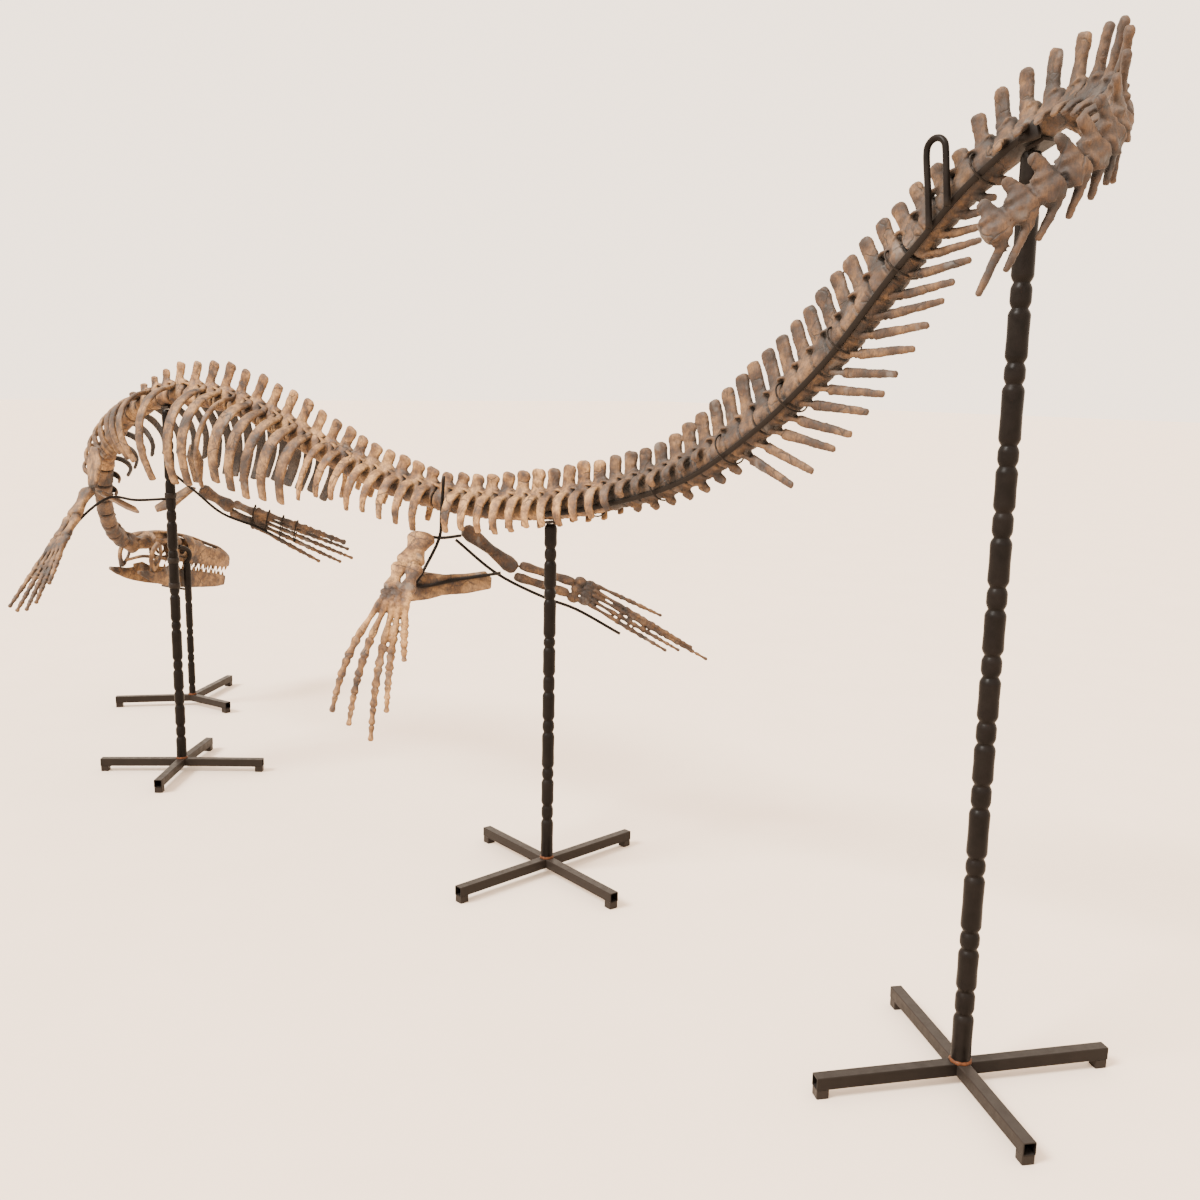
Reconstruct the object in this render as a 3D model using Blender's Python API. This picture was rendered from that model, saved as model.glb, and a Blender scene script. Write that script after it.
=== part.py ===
"""Mounted mosasaur skeleton with its own steel stands, in metres, +Z up.

The animal's head is towards -X, its tail towards +X and its left side towards -Y.
Every bone that grows out of the backbone (spines, ribs, chevrons) is pulled out of a
face of the length of backbone that carries it, so each node is one closed body.
"""
import math

import bmesh
import bpy
from mathutils import Vector

# ---------------------------------------------------------------- driving sizes
GAP = 0.0003                  # clearance between pieces that touch
SAGITTAL_GAP = 0.0008         # clearance between the two sides of the rib cage

# centre line of the backbone, from the back of the skull to the tip of the tail
SPINE_STATIONS = (
    (-2.3036, -0.0910, 0.7974),  # back of the skull
    (-2.2233, -0.1975, 0.8662),
    (-2.1026, -0.2821, 0.9793),  # middle of the neck
    (-1.980, -0.332, 1.116),
    (-1.848, -0.355, 1.275),  # shoulders
    (-1.677, -0.354, 1.400),
    (-1.480, -0.322, 1.486),
    (-1.269, -0.288, 1.527),  # top of the back, over the shoulder stand
    (-1.020, -0.212, 1.507),
    (-0.789, -0.144, 1.445),
    (-0.493, -0.066, 1.336),
    (-0.178, 0.024, 1.243),   # hips
    (0.111, 0.110, 1.205),
    (0.408, 0.182, 1.218),    # over the middle stand
    (0.711, 0.230, 1.280),
    (0.983, 0.258, 1.369),
    (1.245, 0.255, 1.521),
    (1.478, 0.240, 1.702),
    (1.684, 0.219, 1.911),
    (1.828, 0.214, 2.050),
    (1.990, 0.190, 2.146),    # over the tail stand
    (2.126, 0.150, 2.178),
    (2.218, 0.076, 2.154),
    (2.284, -0.033, 2.082),   # the tail turns back on itself
    (2.279, -0.144, 2.004),
    (2.233, -0.216, 1.942),
    (2.176, -0.259, 1.883),   # tip of the tail
)

# lengths of backbone: first and last arc length, number of vertebrae
NECK_START = -0.0324          # arc length at the back of the skull
NECK = (NECK_START, 0.62, 7)
RIB_CAGE = (0.62, 2.15, 19)
LOIN = (2.15, 2.70, 8)
TAIL_BASE = (2.70, 3.42, 11)
TAIL_LENGTHS = ((3.42, 4.04, 10), (4.04, 4.66, 10), (4.66, 5.18, 9), (5.18, 5.78, 11))

# sizes along the backbone, as (arc length, size) knots joined by straight lines
CENTRUM_RADIUS = ((0.0, 0.036), (0.62, 0.041), (2.2, 0.043), (3.4, 0.046), (4.5, 0.046), (4.9, 0.041),
                  (5.2, 0.034), (5.5, 0.026), (5.78, 0.018))
SPINE_HEIGHT = ((0.0, 0.055), (0.6, 0.065), (1.05, 0.075), (1.25, 0.105), (1.5, 0.150), (1.95, 0.150),
                (2.35, 0.118), (2.68, 0.094), (3.2, 0.126), (3.55, 0.116), (4.0, 0.160), (4.4, 0.155),
                (4.75, 0.105), (4.83, 0.085), (4.90, 0.125), (5.0, 0.130), (5.25, 0.150),
                (5.45, 0.080), (5.78, 0.050))
RIB_DEPTH = ((0.0, 0.03), (0.5, 0.045), (0.62, 0.13), (0.9, 0.20), (1.1, 0.25), (1.3, 0.345), (1.45, 0.38),
             (1.6, 0.335), (1.75, 0.31), (1.93, 0.30), (2.0, 0.265), (2.13, 0.235), (2.2, 0.165),
             (2.5, 0.140), (2.7, 0.140), (2.9, 0.115), (3.1, 0.10), (3.38, 0.095), (3.48, 0.045),
             (3.8, 0.030))
RIB_REACH = ((0.0, 0.046), (0.5, 0.056), (0.62, 0.090), (0.9, 0.12), (1.1, 0.17), (1.42, 0.205),
             (1.6, 0.19), (1.9, 0.150), (2.13, 0.115), (2.5, 0.095), (2.8, 0.088), (3.2, 0.080),
             (3.8, 0.062))
CHEVRON_LENGTH = ((3.42, 0.0), (3.5, 0.03), (3.86, 0.045), (3.90, 0.200), (4.1, 0.225), (4.5, 0.195),
                  (4.72, 0.13), (4.8, 0.05), (5.15, 0.05), (5.3, 0.12), (5.45, 0.07), (5.58, 0.075),
                  (5.68, 0.12), (5.78, 0.13))
CHEVRON_SWEEP = ((3.42, 38.0), (3.9, 36.0), (4.05, 44.0), (4.2, 48.0), (4.6, 54.0), (5.2, 50.0),
                 (5.4, 45.0), (5.6, 60.0), (5.78, 64.0))
FIRST_SIDE_PROCESS = 0.40     # arc lengths before and behind which the vertebrae have none
LAST_SIDE_PROCESS = 3.80
# share of each vertebra's length that carries its processes, as knots like those above
PROCESS_SHARE = ((0.6, 0.50), (2.1, 0.52), (2.2, 0.70), (2.8, 0.78), (3.42, 0.76), (3.7, 0.70), (4.1, 0.60),
                 (4.66, 0.50), (5.78, 0.46))
LOST_LEFT_RIBS = (8, 10)      # places in the rib cage, counted from the neck, with no left rib
HIP_STATION = 2.755           # arc length of the rod that hangs the hip girdle
HIP_BAY = 0.032               # stretch on each side of it that is free of side processes
HIP_STRAP = (0.088, -0.045)   # its upper and lower end beside the backbone
HIP_ROD_ENDS = ((0.030, -0.010), (0.315, 0.055))  # beside the hip girdle, from its front end
WAIST = 0.86                  # girth between two vertebrae against their rims
SPINE_THICKNESS = 0.020
SPINE_SWEEP = math.radians(14.0)

# outline of a vertebra, in its own radii
ROOF = 1.25                   # height of the foot of the neural spine
SHOULDER = 0.1                # height of the widest place
KEEL = 0.9                    # depth of the underside
KEEL_WIDTH = 0.5

# arms that grow out of a vertebra, as (share of the arm, share of length cut off each end)
BLUNT_SPINE = ((0.82, 0.0), (1.0, 0.22))
PLAIN_SPINE = ((1.0, 0.10),)
CHEVRON_PROFILE = ((0.25, 0.16), (1.0, 0.30))
CHEVRON_HALF_THICKNESS = 0.0095
CHEVRON_TAPER = 0.4

RIB_ROOT_SIDE = 0.65          # where a rib leaves the vertebra, in the vertebra's radii
RIB_ROOT_HEIGHT = 0.7
RIB_TURN = math.radians(100.0)
RIB_EDGE_TURN = 0.9           # how closely the rib's flat side follows its turn
RIB_TRAIL = 0.08              # shift to the rear for each unit of drop
RIB_TUCK = 0.012              # how far the lower end turns inwards
RIB_PIECES = 4                # lengths of each rib of the rib cage
RIB_HALF_THICKNESS = 0.0070
RIB_WIDTH = (0.5, 0.12)       # half width at the root and its loss by the end
PROCESS_HALF_THICKNESS = 0.0060
PROCESS_WIDTH = (0.45, 0.12)
PROCESS_PIECES = 2            # lengths of each side process of the other vertebrae

# stands: position of the pole, then its legs as (direction, length)
TUBE = 0.031                  # square tube of the legs
FOOT_HEIGHT = 0.022
POLE_RADIUS = {"tail": 0.0240, "mid": 0.0205, "shoulder": 0.0205, "head": 0.0172}
NECK_SHARE = 0.70             # radius in the grooves between the turned lengths, against the pole's
POLE_SIDES = 6
LONG_TURNING = 0.160
SHORT_TURNING = 0.046
STANDS = {
    "tail": ((2.007, 0.172), ((60.5, 0.385), (149.0, 0.364), (240.5, 0.366), (328.5, 0.322))),
    "mid": ((0.429, 0.195), ((91.9, 0.380), (178.0, 0.351), (272.0, 0.368), (357.0, 0.356))),
    "shoulder": ((-1.330, -0.306), ((49.6, 0.331), (134.0, 0.290), (231.9, 0.324), (318.5, 0.284))),
    "head": ((-2.2695, 0.147), ((15.8, 0.256), (129.0, 0.400), (239.0, 0.357))),
}
BAR_WIDTH = 0.014             # steel bar along the left flank of the tail
BAR_THICKNESS = 0.010
BAR_FIRST, BAR_LAST = 3.17, 5.04
LOOP_FEET = (4.738, 4.805)    # arc lengths of the lifting loop's two feet
LOOP_HEIGHT = 0.145           # top of the loop over the middle of the backbone
LOOP_ROD = 0.008
LOOP_LEAN = 0.16              # share of its rise that goes square to the backbone
LOOP_OVERLAP = 0.012          # length of each foot beside the bar
LOOP_STEPS = 6                # straight pieces of its bow
POLE_BAY = 0.085              # half the stretch left free for the tail stand's pole
ROD_RADIUS = 0.0055
SKULL_ROD_RADIUS = 0.0110
HEAD_POLE_TOP = 0.706         # it ends beside the jaw
JAW_BAR_PLACE = 0.254         # along the jaw
JAW_BAR_END = 0.010           # part of the bar that shows past the jaw
ARM_FOOT = 0.006              # upright start of the arm to the cheek
SEAT_GAP = 0.0015             # between a bone and the steel that carries it
GROOVE = 0.010                # half the length of a groove in a turned pole
BAR_STEPS = 26
SADDLE_LENGTH = 0.050
SADDLE_HALF_WIDTH = 0.022
SADDLE_THICKNESS = 0.008

# skull, in its own frame: +X to the snout, +Y to its left, +Z up, zero at the neck joint
SKULL_HEADING = math.radians(106.8)
SKULL_PITCH = math.radians(-11.0)
JAW_OPENING = math.radians(4.0)
SKULL_ORIGIN = Vector((-2.3091, -0.0825, 0.7954))
JAW_JOINT = (0.005, 0.120, -0.100)
SKULL_LENGTH = 0.565
JAW_LENGTH = 0.560
TEETH_PER_SIDE = 11           # in each jaw
TOOTH_ROOT = 0.006            # part of a tooth that sits in the bone
UPPER_TOOTH = (0.024, 0.0065)  # length and radius
LOWER_TOOTH = (0.022, 0.006)
TOOTH_INSET = 0.0075          # from the edge of the upper lip
CHEEK = (0.160, 0.024)        # place and height where the stand holds the skull
SKULL_ARM = ((0.218, -0.121, -0.020), (0.200, -0.131, 0.010))   # bends of the arm that holds it

BONE_COLOUR = (0.42, 0.27, 0.15, 1.0)
DARK_BONE_COLOUR = (0.30, 0.19, 0.11, 1.0)
STEEL_COLOUR = (0.018, 0.015, 0.014, 1.0)


# ---------------------------------------------------------------- small helpers
def clear_scene():
    for thing in list(bpy.data.objects):
        bpy.data.objects.remove(thing, do_unlink=True)


def material(name, colour, roughness, metallic):
    found = bpy.data.materials.get(name)
    if found is None:
        found = bpy.data.materials.new(name)
        found.use_nodes = True
        shader = found.node_tree.nodes["Principled BSDF"]
        shader.inputs["Base Color"].default_value = colour
        shader.inputs["Roughness"].default_value = roughness
        shader.inputs["Metallic"].default_value = metallic
    return found


def bone():
    return material("bone", BONE_COLOUR, 0.75, 0.0)


def dark_bone():
    return material("dark_bone", DARK_BONE_COLOUR, 0.75, 0.0)


def steel():
    return material("black_steel", STEEL_COLOUR, 0.35, 0.6)


def along(knots, place):
    """Straight-line value of a table of (place, size) knots."""
    if place <= knots[0][0]:
        return knots[0][1]
    for (a, low), (b, high) in zip(knots, knots[1:]):
        if place <= b:
            return low + (high - low) * (place - a) / (b - a)
    return knots[-1][1]


class Body:
    """Points and faces of one closed solid."""

    def __init__(self):
        self.points = []
        self.faces = []

    def ring(self, points):
        first = len(self.points)
        self.points.extend(Vector(p) for p in points)
        return list(range(first, len(self.points)))

    def side(self, a, b, index):
        """The four corners between side index of ring a and of ring b."""
        nxt = (index + 1) % len(a)
        return [a[index], a[nxt], b[nxt], b[index]]

    def bridge(self, a, b, skip=()):
        for index in range(len(a)):
            if index not in skip:
                self.faces.append(self.side(a, b, index))

    def grow(self, corners, sections):
        """Pull a closed arm of the given cross-sections out of a face."""
        last = corners
        for section in sections:
            ring = self.ring(section)
            self.bridge(last, ring)
            last = ring
        self.faces.append(last)

    def build(self, name, finish):
        mesh = bpy.data.meshes.new(name)
        mesh.from_pydata([p[:] for p in self.points], [], self.faces)
        form = bmesh.new()
        form.from_mesh(mesh)
        bmesh.ops.triangulate(form, faces=form.faces)
        bmesh.ops.recalc_face_normals(form, faces=form.faces)
        form.to_mesh(mesh)
        form.free()
        thing = bpy.data.objects.new(name, mesh)
        thing.data.materials.append(finish)
        bpy.context.scene.collection.objects.link(thing)
        return thing


def smooth_path(stations, steps=12):
    """Points of a centripetal Catmull-Rom curve through the stations."""
    knots = [Vector(p) for p in stations]
    knots = [2 * knots[0] - knots[1]] + knots + [2 * knots[-1] - knots[-2]]
    curve = []
    for p0, p1, p2, p3 in zip(knots, knots[1:], knots[2:], knots[3:]):
        t1 = (p1 - p0).length ** 0.5
        t2 = t1 + (p2 - p1).length ** 0.5
        t3 = t2 + (p3 - p2).length ** 0.5
        for step in range(steps):
            t = t1 + (t2 - t1) * step / steps
            a1 = p0.lerp(p1, t / t1)
            a2 = p1.lerp(p2, (t - t1) / (t2 - t1))
            a3 = p2.lerp(p3, (t - t2) / (t3 - t2))
            b1 = a1.lerp(a2, t / t2)
            b2 = a2.lerp(a3, (t - t1) / (t3 - t1))
            curve.append(b1.lerp(b2, (t - t1) / (t2 - t1)))
    curve.append(knots[-2])
    return curve


class Spine:
    """The backbone's centre line, read by arc length."""

    def __init__(self, stations):
        self.curve = smooth_path(stations)
        self.reach = [NECK_START]
        for a, b in zip(self.curve, self.curve[1:]):
            self.reach.append(self.reach[-1] + (b - a).length)
        self.length = self.reach[-1]

    def point(self, s):
        s = min(max(s, NECK_START), self.length)
        for index in range(1, len(self.reach)):
            if s <= self.reach[index]:
                break
        share = (s - self.reach[index - 1]) / (self.reach[index] - self.reach[index - 1])
        return self.curve[index - 1].lerp(self.curve[index], share)

    def frame(self, s):
        """Point, direction to the tail, up across the spine, and the animal's left."""
        span = 0.03
        tail = (self.point(s + span) - self.point(s - span)).normalized()
        up = (Vector((0, 0, 1)) - tail * tail.z).normalized()
        return self.point(s), tail, up, tail.cross(up)

    def place(self, s, left, high, back=0.0):
        """A point given by its offsets to the left, up and towards the tail."""
        point, tail, up, side = self.frame(s)
        return point + side * left + up * high + tail * back


SPINE = Spine(SPINE_STATIONS)


# ---------------------------------------------------------------- backbone
def rim(s, girth):
    """Six corners round the backbone, from the top left one clockwise from behind."""
    r = along(CENTRUM_RADIUS, s) * girth
    half = SPINE_THICKNESS / 2
    outline = ((half, ROOF * r), (-half, ROOF * r), (-r, SHOULDER * r),
               (-KEEL_WIDTH * r, -KEEL * r), (KEEL_WIDTH * r, -KEEL * r), (r, SHOULDER * r))
    return [SPINE.place(s, left, high) for left, high in outline]


def half_rim(s, girth, left_side):
    """Five corners round one side of the backbone, split down its middle."""
    r = along(CENTRUM_RADIUS, s) * girth
    half = SPINE_THICKNESS / 2
    cut = SAGITTAL_GAP / 2
    outline = ((cut, ROOF * r), (half, ROOF * r), (r, SHOULDER * r),
               (KEEL_WIDTH * r, -KEEL * r), (cut, -KEEL * r))
    hand = 1.0 if left_side else -1.0
    return [SPINE.place(s, hand * left, high) for left, high in outline]


def spine_sections(s, length, low, high, blunt=True):
    """Neural spine over the stretch from s, between two offsets to the left."""
    radius = along(CENTRUM_RADIUS, s)
    tall = along(SPINE_HEIGHT, s)
    lean = math.tan(SPINE_SWEEP)
    base = ROOF * radius
    sections = []
    for share, narrow in BLUNT_SPINE if blunt else PLAIN_SPINE:
        height = base + share * (tall - base)
        shift = (height - base) * lean
        front = shift + narrow * length
        rear = shift + (1.0 - narrow) * length
        sections.append([SPINE.place(s, high, height, front), SPINE.place(s, low, height, front),
                         SPINE.place(s, low, height, rear), SPINE.place(s, high, height, rear)])
    return sections


def rib_sections(s, length, hand, pieces):
    """Rib or side process: a quarter turn outwards and down."""
    radius = along(CENTRUM_RADIUS, s)
    depth = along(RIB_DEPTH, s)
    reach = along(RIB_REACH, s)
    inner = RIB_ROOT_SIDE * radius
    top = RIB_ROOT_HEIGHT * radius
    is_rib = pieces == RIB_PIECES
    thick = RIB_HALF_THICKNESS if is_rib else PROCESS_HALF_THICKNESS
    root_width, narrowing = RIB_WIDTH if is_rib else PROCESS_WIDTH
    sections = []
    for piece in range(1, pieces + 1):
        share = piece / pieces
        turn = RIB_TURN * share
        left = inner + (reach - inner) * math.sin(min(turn, math.pi / 2))
        if is_rib and piece == pieces:
            left -= RIB_TUCK
        drop = depth * (1.0 - math.cos(turn)) / (1.0 - math.cos(RIB_TURN))
        wide = (root_width - narrowing * share) * length
        middle = 0.5 * length + RIB_TRAIL * drop
        out_x = math.cos(turn * RIB_EDGE_TURN)
        out_z = math.sin(turn * RIB_EDGE_TURN)
        upper = (left + thick * out_z, top - drop + thick * out_x)
        lower = (left - thick * out_z, top - drop - thick * out_x)
        sections.append([SPINE.place(s, hand * upper[0], upper[1], middle - wide),
                         SPINE.place(s, hand * lower[0], lower[1], middle - wide),
                         SPINE.place(s, hand * lower[0], lower[1], middle + wide),
                         SPINE.place(s, hand * upper[0], upper[1], middle + wide)])
    return sections


def chevron_sections(s, length):
    """Chevron under a tail vertebra, swept to the rear."""
    radius = along(CENTRUM_RADIUS, s)
    long = along(CHEVRON_LENGTH, s)
    sweep = math.radians(along(CHEVRON_SWEEP, s))
    sections = []
    for share, narrow in CHEVRON_PROFILE:
        low = -KEEL * radius - long * share * math.cos(sweep)
        back = long * share * math.sin(sweep)
        front = back + narrow * length
        rear = back + (1.0 - narrow) * length
        wide = CHEVRON_HALF_THICKNESS * (1.0 - CHEVRON_TAPER * share)
        sections.append([SPINE.place(s, -wide, low, front), SPINE.place(s, wide, low, front),
                         SPINE.place(s, wide, low, rear), SPINE.place(s, -wide, low, rear)])
    return sections


def stations_of(stretch):
    """First arc length and length of each vertebra of a stretch."""
    first, last, count = stretch
    pitch = (last - first) / count
    return [(first + pitch * index, pitch) for index in range(count)]


def carries_chevron(s, pitch):
    """The tail stand's pole takes the place of the chevrons over it."""
    clear_of_pole = abs(s + 0.3 * pitch - BAR_LAST) > POLE_BAY
    return along(CHEVRON_LENGTH, s) > 0.02 and clear_of_pole


def backbone(name, stretch, finish):
    """One length of backbone with its spines, side processes and chevrons."""
    body = Body()
    start = body.ring(rim(stretch[0] + GAP / 2, 1.0))
    body.faces.append(start[::-1])
    ring = start
    for s, pitch in stations_of(stretch):
        length = pitch * along(PROCESS_SHARE, s)
        rear = body.ring(rim(s + length, WAIST))
        near_rod = abs(s + length / 2 - HIP_STATION) < HIP_BAY
        has_sides = FIRST_SIDE_PROCESS < s < LAST_SIDE_PROCESS and not near_rod
        has_chevron = carries_chevron(s, pitch)
        skip = [0]
        if has_sides:
            skip += [1, 5]
        if has_chevron:
            skip.append(3)
        body.bridge(ring, rear, skip)
        half = SPINE_THICKNESS / 2
        top = body.side(ring, rear, 0)
        body.grow(top, spine_sections(s, length, -half, half, NECK[1] < s < TAIL_LENGTHS[3][0]))
        if has_sides:
            right = body.side(ring, rear, 1)
            left = body.side(ring, rear, 5)
            body.grow(right, rib_sections(s, length, -1.0, PROCESS_PIECES))
            body.grow([left[1], left[0], left[3], left[2]], rib_sections(s, length, 1.0, PROCESS_PIECES))
        if has_chevron:
            body.grow(body.side(ring, rear, 3), chevron_sections(s, length))
        last = s + pitch > stretch[1] - pitch / 2
        ring = body.ring(rim(s + pitch - (GAP / 2 if last else 0.0), 1.0))
        body.bridge(rear, ring)
    body.faces.append(ring)
    return body.build(name, finish)


def rib_cage_side(name, left_side):
    """One side of the rib cage: half of each vertebra, with its rib."""
    hand = 1.0 if left_side else -1.0
    body = Body()
    start = body.ring(half_rim(RIB_CAGE[0] + GAP / 2, 1.0, left_side))
    body.faces.append(start[::-1])
    ring = start
    for place, (s, pitch) in enumerate(stations_of(RIB_CAGE)):
        length = pitch * along(PROCESS_SHARE, s)
        has_rib = not (left_side and place in LOST_LEFT_RIBS)
        rear = body.ring(half_rim(s + length, WAIST, left_side))
        body.bridge(ring, rear, (0, 1) if has_rib else (0,))
        cut = hand * SAGITTAL_GAP / 2
        spine = spine_sections(s, length, hand * SPINE_THICKNESS / 2, cut, False)
        body.grow(body.side(ring, rear, 0), spine)
        if has_rib:
            body.grow(body.side(ring, rear, 1), rib_sections(s, length, hand, RIB_PIECES))
        last = s + pitch > RIB_CAGE[1] - pitch / 2
        ring = body.ring(half_rim(s + pitch - (GAP / 2 if last else 0.0), 1.0, left_side))
        body.bridge(rear, ring)
    body.faces.append(ring)
    return body.build(name, bone())


# ---------------------------------------------------------------- skull
def skull_point(x, y, z):
    """World place of a point given in the skull's frame."""
    forward = Vector((math.cos(SKULL_HEADING), math.sin(SKULL_HEADING), 0.0))
    left = Vector((-forward.y, forward.x, 0.0))
    nose = forward * math.cos(SKULL_PITCH) + Vector((0, 0, math.sin(SKULL_PITCH)))
    return SKULL_ORIGIN + nose * x + left * y + nose.cross(left) * z


def jaw_point(x, y, z):
    """World place of a point given in the skull's frame with the mouth shut."""
    dx = x - JAW_JOINT[0]
    dz = z - JAW_JOINT[2]
    c = math.cos(-JAW_OPENING)
    s = math.sin(-JAW_OPENING)
    return skull_point(JAW_JOINT[0] + dx * c - dz * s, y, JAW_JOINT[2] + dx * s + dz * c)


# place from the neck joint: half width and height of the roof edge, of the brow and of the lip
SKULL_SECTIONS = (
    (0.016, 0.030, 0.062, 0.088, 0.046, 0.082, -0.022),
    (0.055, 0.040, 0.082, 0.118, 0.052, 0.108, -0.026),
    (0.110, 0.045, 0.092, 0.118, 0.058, 0.106, -0.030),
    (0.170, 0.048, 0.094, 0.108, 0.058, 0.100, -0.036),   # behind the eye
    (0.250, 0.044, 0.088, 0.090, 0.052, 0.087, -0.044),   # before the eye
    (0.320, 0.038, 0.078, 0.073, 0.040, 0.072, -0.050),
    (0.420, 0.030, 0.062, 0.056, 0.024, 0.056, -0.054),
    (0.520, 0.020, 0.042, 0.040, 0.006, 0.040, -0.055),
    (SKULL_LENGTH, 0.010, 0.010, 0.020, -0.010, 0.020, -0.048),
)
# stretches between two sections that hold an opening
TEMPLE_BAY = 1
EYE_BAY = 3
NOSTRIL_BAY = 5
ROOF_HOLLOWS = {TEMPLE_BAY: (0.75, 0.030), NOSTRIL_BAY: (0.75, 0.010)}
EYE_SOCKET = (0.80, 0.035)    # share of the face that opens, and its depth, as above

# bone that carries the jaw joint: place, and (height, half width, half length) down it
QUADRATE_PLACE = (0.030, 0.112)
QUADRATE = ((-0.050, 0.010, 0.012), (JAW_JOINT[2] - 0.001, 0.014, 0.022))


def skull_ring(row):
    x, roof, roof_z, brow, brow_z, lip, lip_z = row
    palate = 0.55 * lip
    half = [(roof, roof_z), (brow, brow_z), (lip, lip_z), (palate, lip_z + 0.006)]
    right = [(-y, z) for y, z in half]
    return [skull_point(x, y, z) for y, z in half + right[::-1]]


def sunk(body, corners, share, depth, inward):
    """A hollow sunk into a face, with its floor moved by depth along inward."""
    middle = sum((body.points[i] for i in corners), Vector()) / 4
    edge = [middle.lerp(body.points[i], share) for i in corners]
    floor = [p + inward * depth for p in edge]
    body.grow(corners, [edge, floor])


def tooth_cones(name, centres, size, direction):
    """A row of pointed teeth, as one mesh of separate cones to be joined on."""
    body = Body()
    long, radius = size
    across = direction.orthogonal().normalized()
    other = direction.cross(across)
    for centre in centres:
        base = centre - direction * TOOTH_ROOT
        corners = [math.radians(45 + 90 * k) for k in range(4)]
        ring = body.ring([base + (across * math.cos(a) + other * math.sin(a)) * radius for a in corners])
        tip = body.ring([centre + direction * long])[0]
        body.faces.append(ring[::-1])
        for index in range(4):
            body.faces.append([ring[index], ring[(index + 1) % 4], tip])
    return body.build(name, bone())


def join_on(target, extra):
    """Boolean union of extra into target; extra is then removed."""
    modifier = target.modifiers.new("union", "BOOLEAN")
    modifier.operation = "UNION"
    modifier.solver = "EXACT"
    modifier.object = extra
    graph = bpy.context.evaluated_depsgraph_get()
    mesh = bpy.data.meshes.new_from_object(target.evaluated_get(graph))
    target.modifiers.clear()
    target.data = mesh
    bpy.data.objects.remove(extra, do_unlink=True)


def skull():
    body = Body()
    down = skull_point(0, 0, -1) - skull_point(0, 0, 0)
    left = skull_point(0, 1, 0) - skull_point(0, 0, 0)
    rings = [body.ring(skull_ring(row)) for row in SKULL_SECTIONS]
    rear = [body.points[i].copy() for i in rings[0]]
    condyle = skull_point(SKULL_SECTIONS[0][0], 0.0, 0.006)
    back = skull_point(-1, 0, 0) - skull_point(0, 0, 0)
    knob = [condyle.lerp(p, 0.22) for p in rear]
    body.grow(rings[0][::-1], [knob[::-1], [p + back * 0.014 for p in knob[::-1]]])
    for bay, (a, b) in enumerate(zip(rings, rings[1:])):
        skip = [0, 6] if bay in ROOF_HOLLOWS else []
        if bay == EYE_BAY:
            skip = [1, 5]
        if bay == 0:
            skip = [2, 4]
        body.bridge(a, b, skip)
        if bay == EYE_BAY:
            for index, hand in ((1, 1.0), (5, -1.0)):
                sunk(body, body.side(a, b, index), *EYE_SOCKET, left * -hand)
        if bay in ROOF_HOLLOWS:
            for index in (0, 6):
                sunk(body, body.side(a, b, index), *ROOF_HOLLOWS[bay], down)
        if bay == 0:
            for index, hand in ((2, 1.0), (4, -1.0)):
                post = []
                for low, half, front in QUADRATE:
                    order = ((-front, half), (-front, -half), (front, -half), (front, half))
                    if hand < 0:
                        order = (order[1], order[0], order[3], order[2])
                    middle, side = QUADRATE_PLACE
                    post.append([skull_point(middle + x, hand * (side + y), low) for x, y in order])
                body.grow(body.side(a, b, index), post)
    body.faces.append(rings[-1])
    cranium = body.build("skull", bone())
    teeth = []
    for index in range(TEETH_PER_SIDE):
        x = 0.20 + (SKULL_LENGTH - 0.215) * (index + 0.5) / TEETH_PER_SIDE
        lip = along([(row[0], row[5]) for row in SKULL_SECTIONS], x)
        lip_z = along([(row[0], row[6]) for row in SKULL_SECTIONS], x)
        for hand in (1.0, -1.0):
            teeth.append(skull_point(x, hand * (lip - TOOTH_INSET), lip_z))
    join_on(cranium, tooth_cones("upper_teeth", teeth, UPPER_TOOTH, down))
    return cranium


# place along the lower jaw: half width, height of the lower and of the upper edge
JAW_SECTIONS = (
    (-0.055, 0.112, -0.122, -0.108),
    (-0.010, 0.118, -0.138, -0.104),
    (0.060, 0.116, -0.154, -0.100),
    (0.120, 0.102, -0.158, -0.066),   # top of the coronoid
    (0.160, 0.091, -0.158, -0.072),
    (0.260, 0.076, -0.152, -0.062),
    (0.380, 0.056, -0.138, -0.058),
    (0.480, 0.040, -0.124, -0.056),
    (JAW_LENGTH - 0.015, 0.022, -0.108, -0.058),
)
JAW_THICKNESS = 0.020
CHIN = (-0.104, -0.060)       # lower and upper edge where the two sides meet
CHIN_REAR = (-0.112, 0.075)   # lower edge behind the chin, and the chin's length


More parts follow.
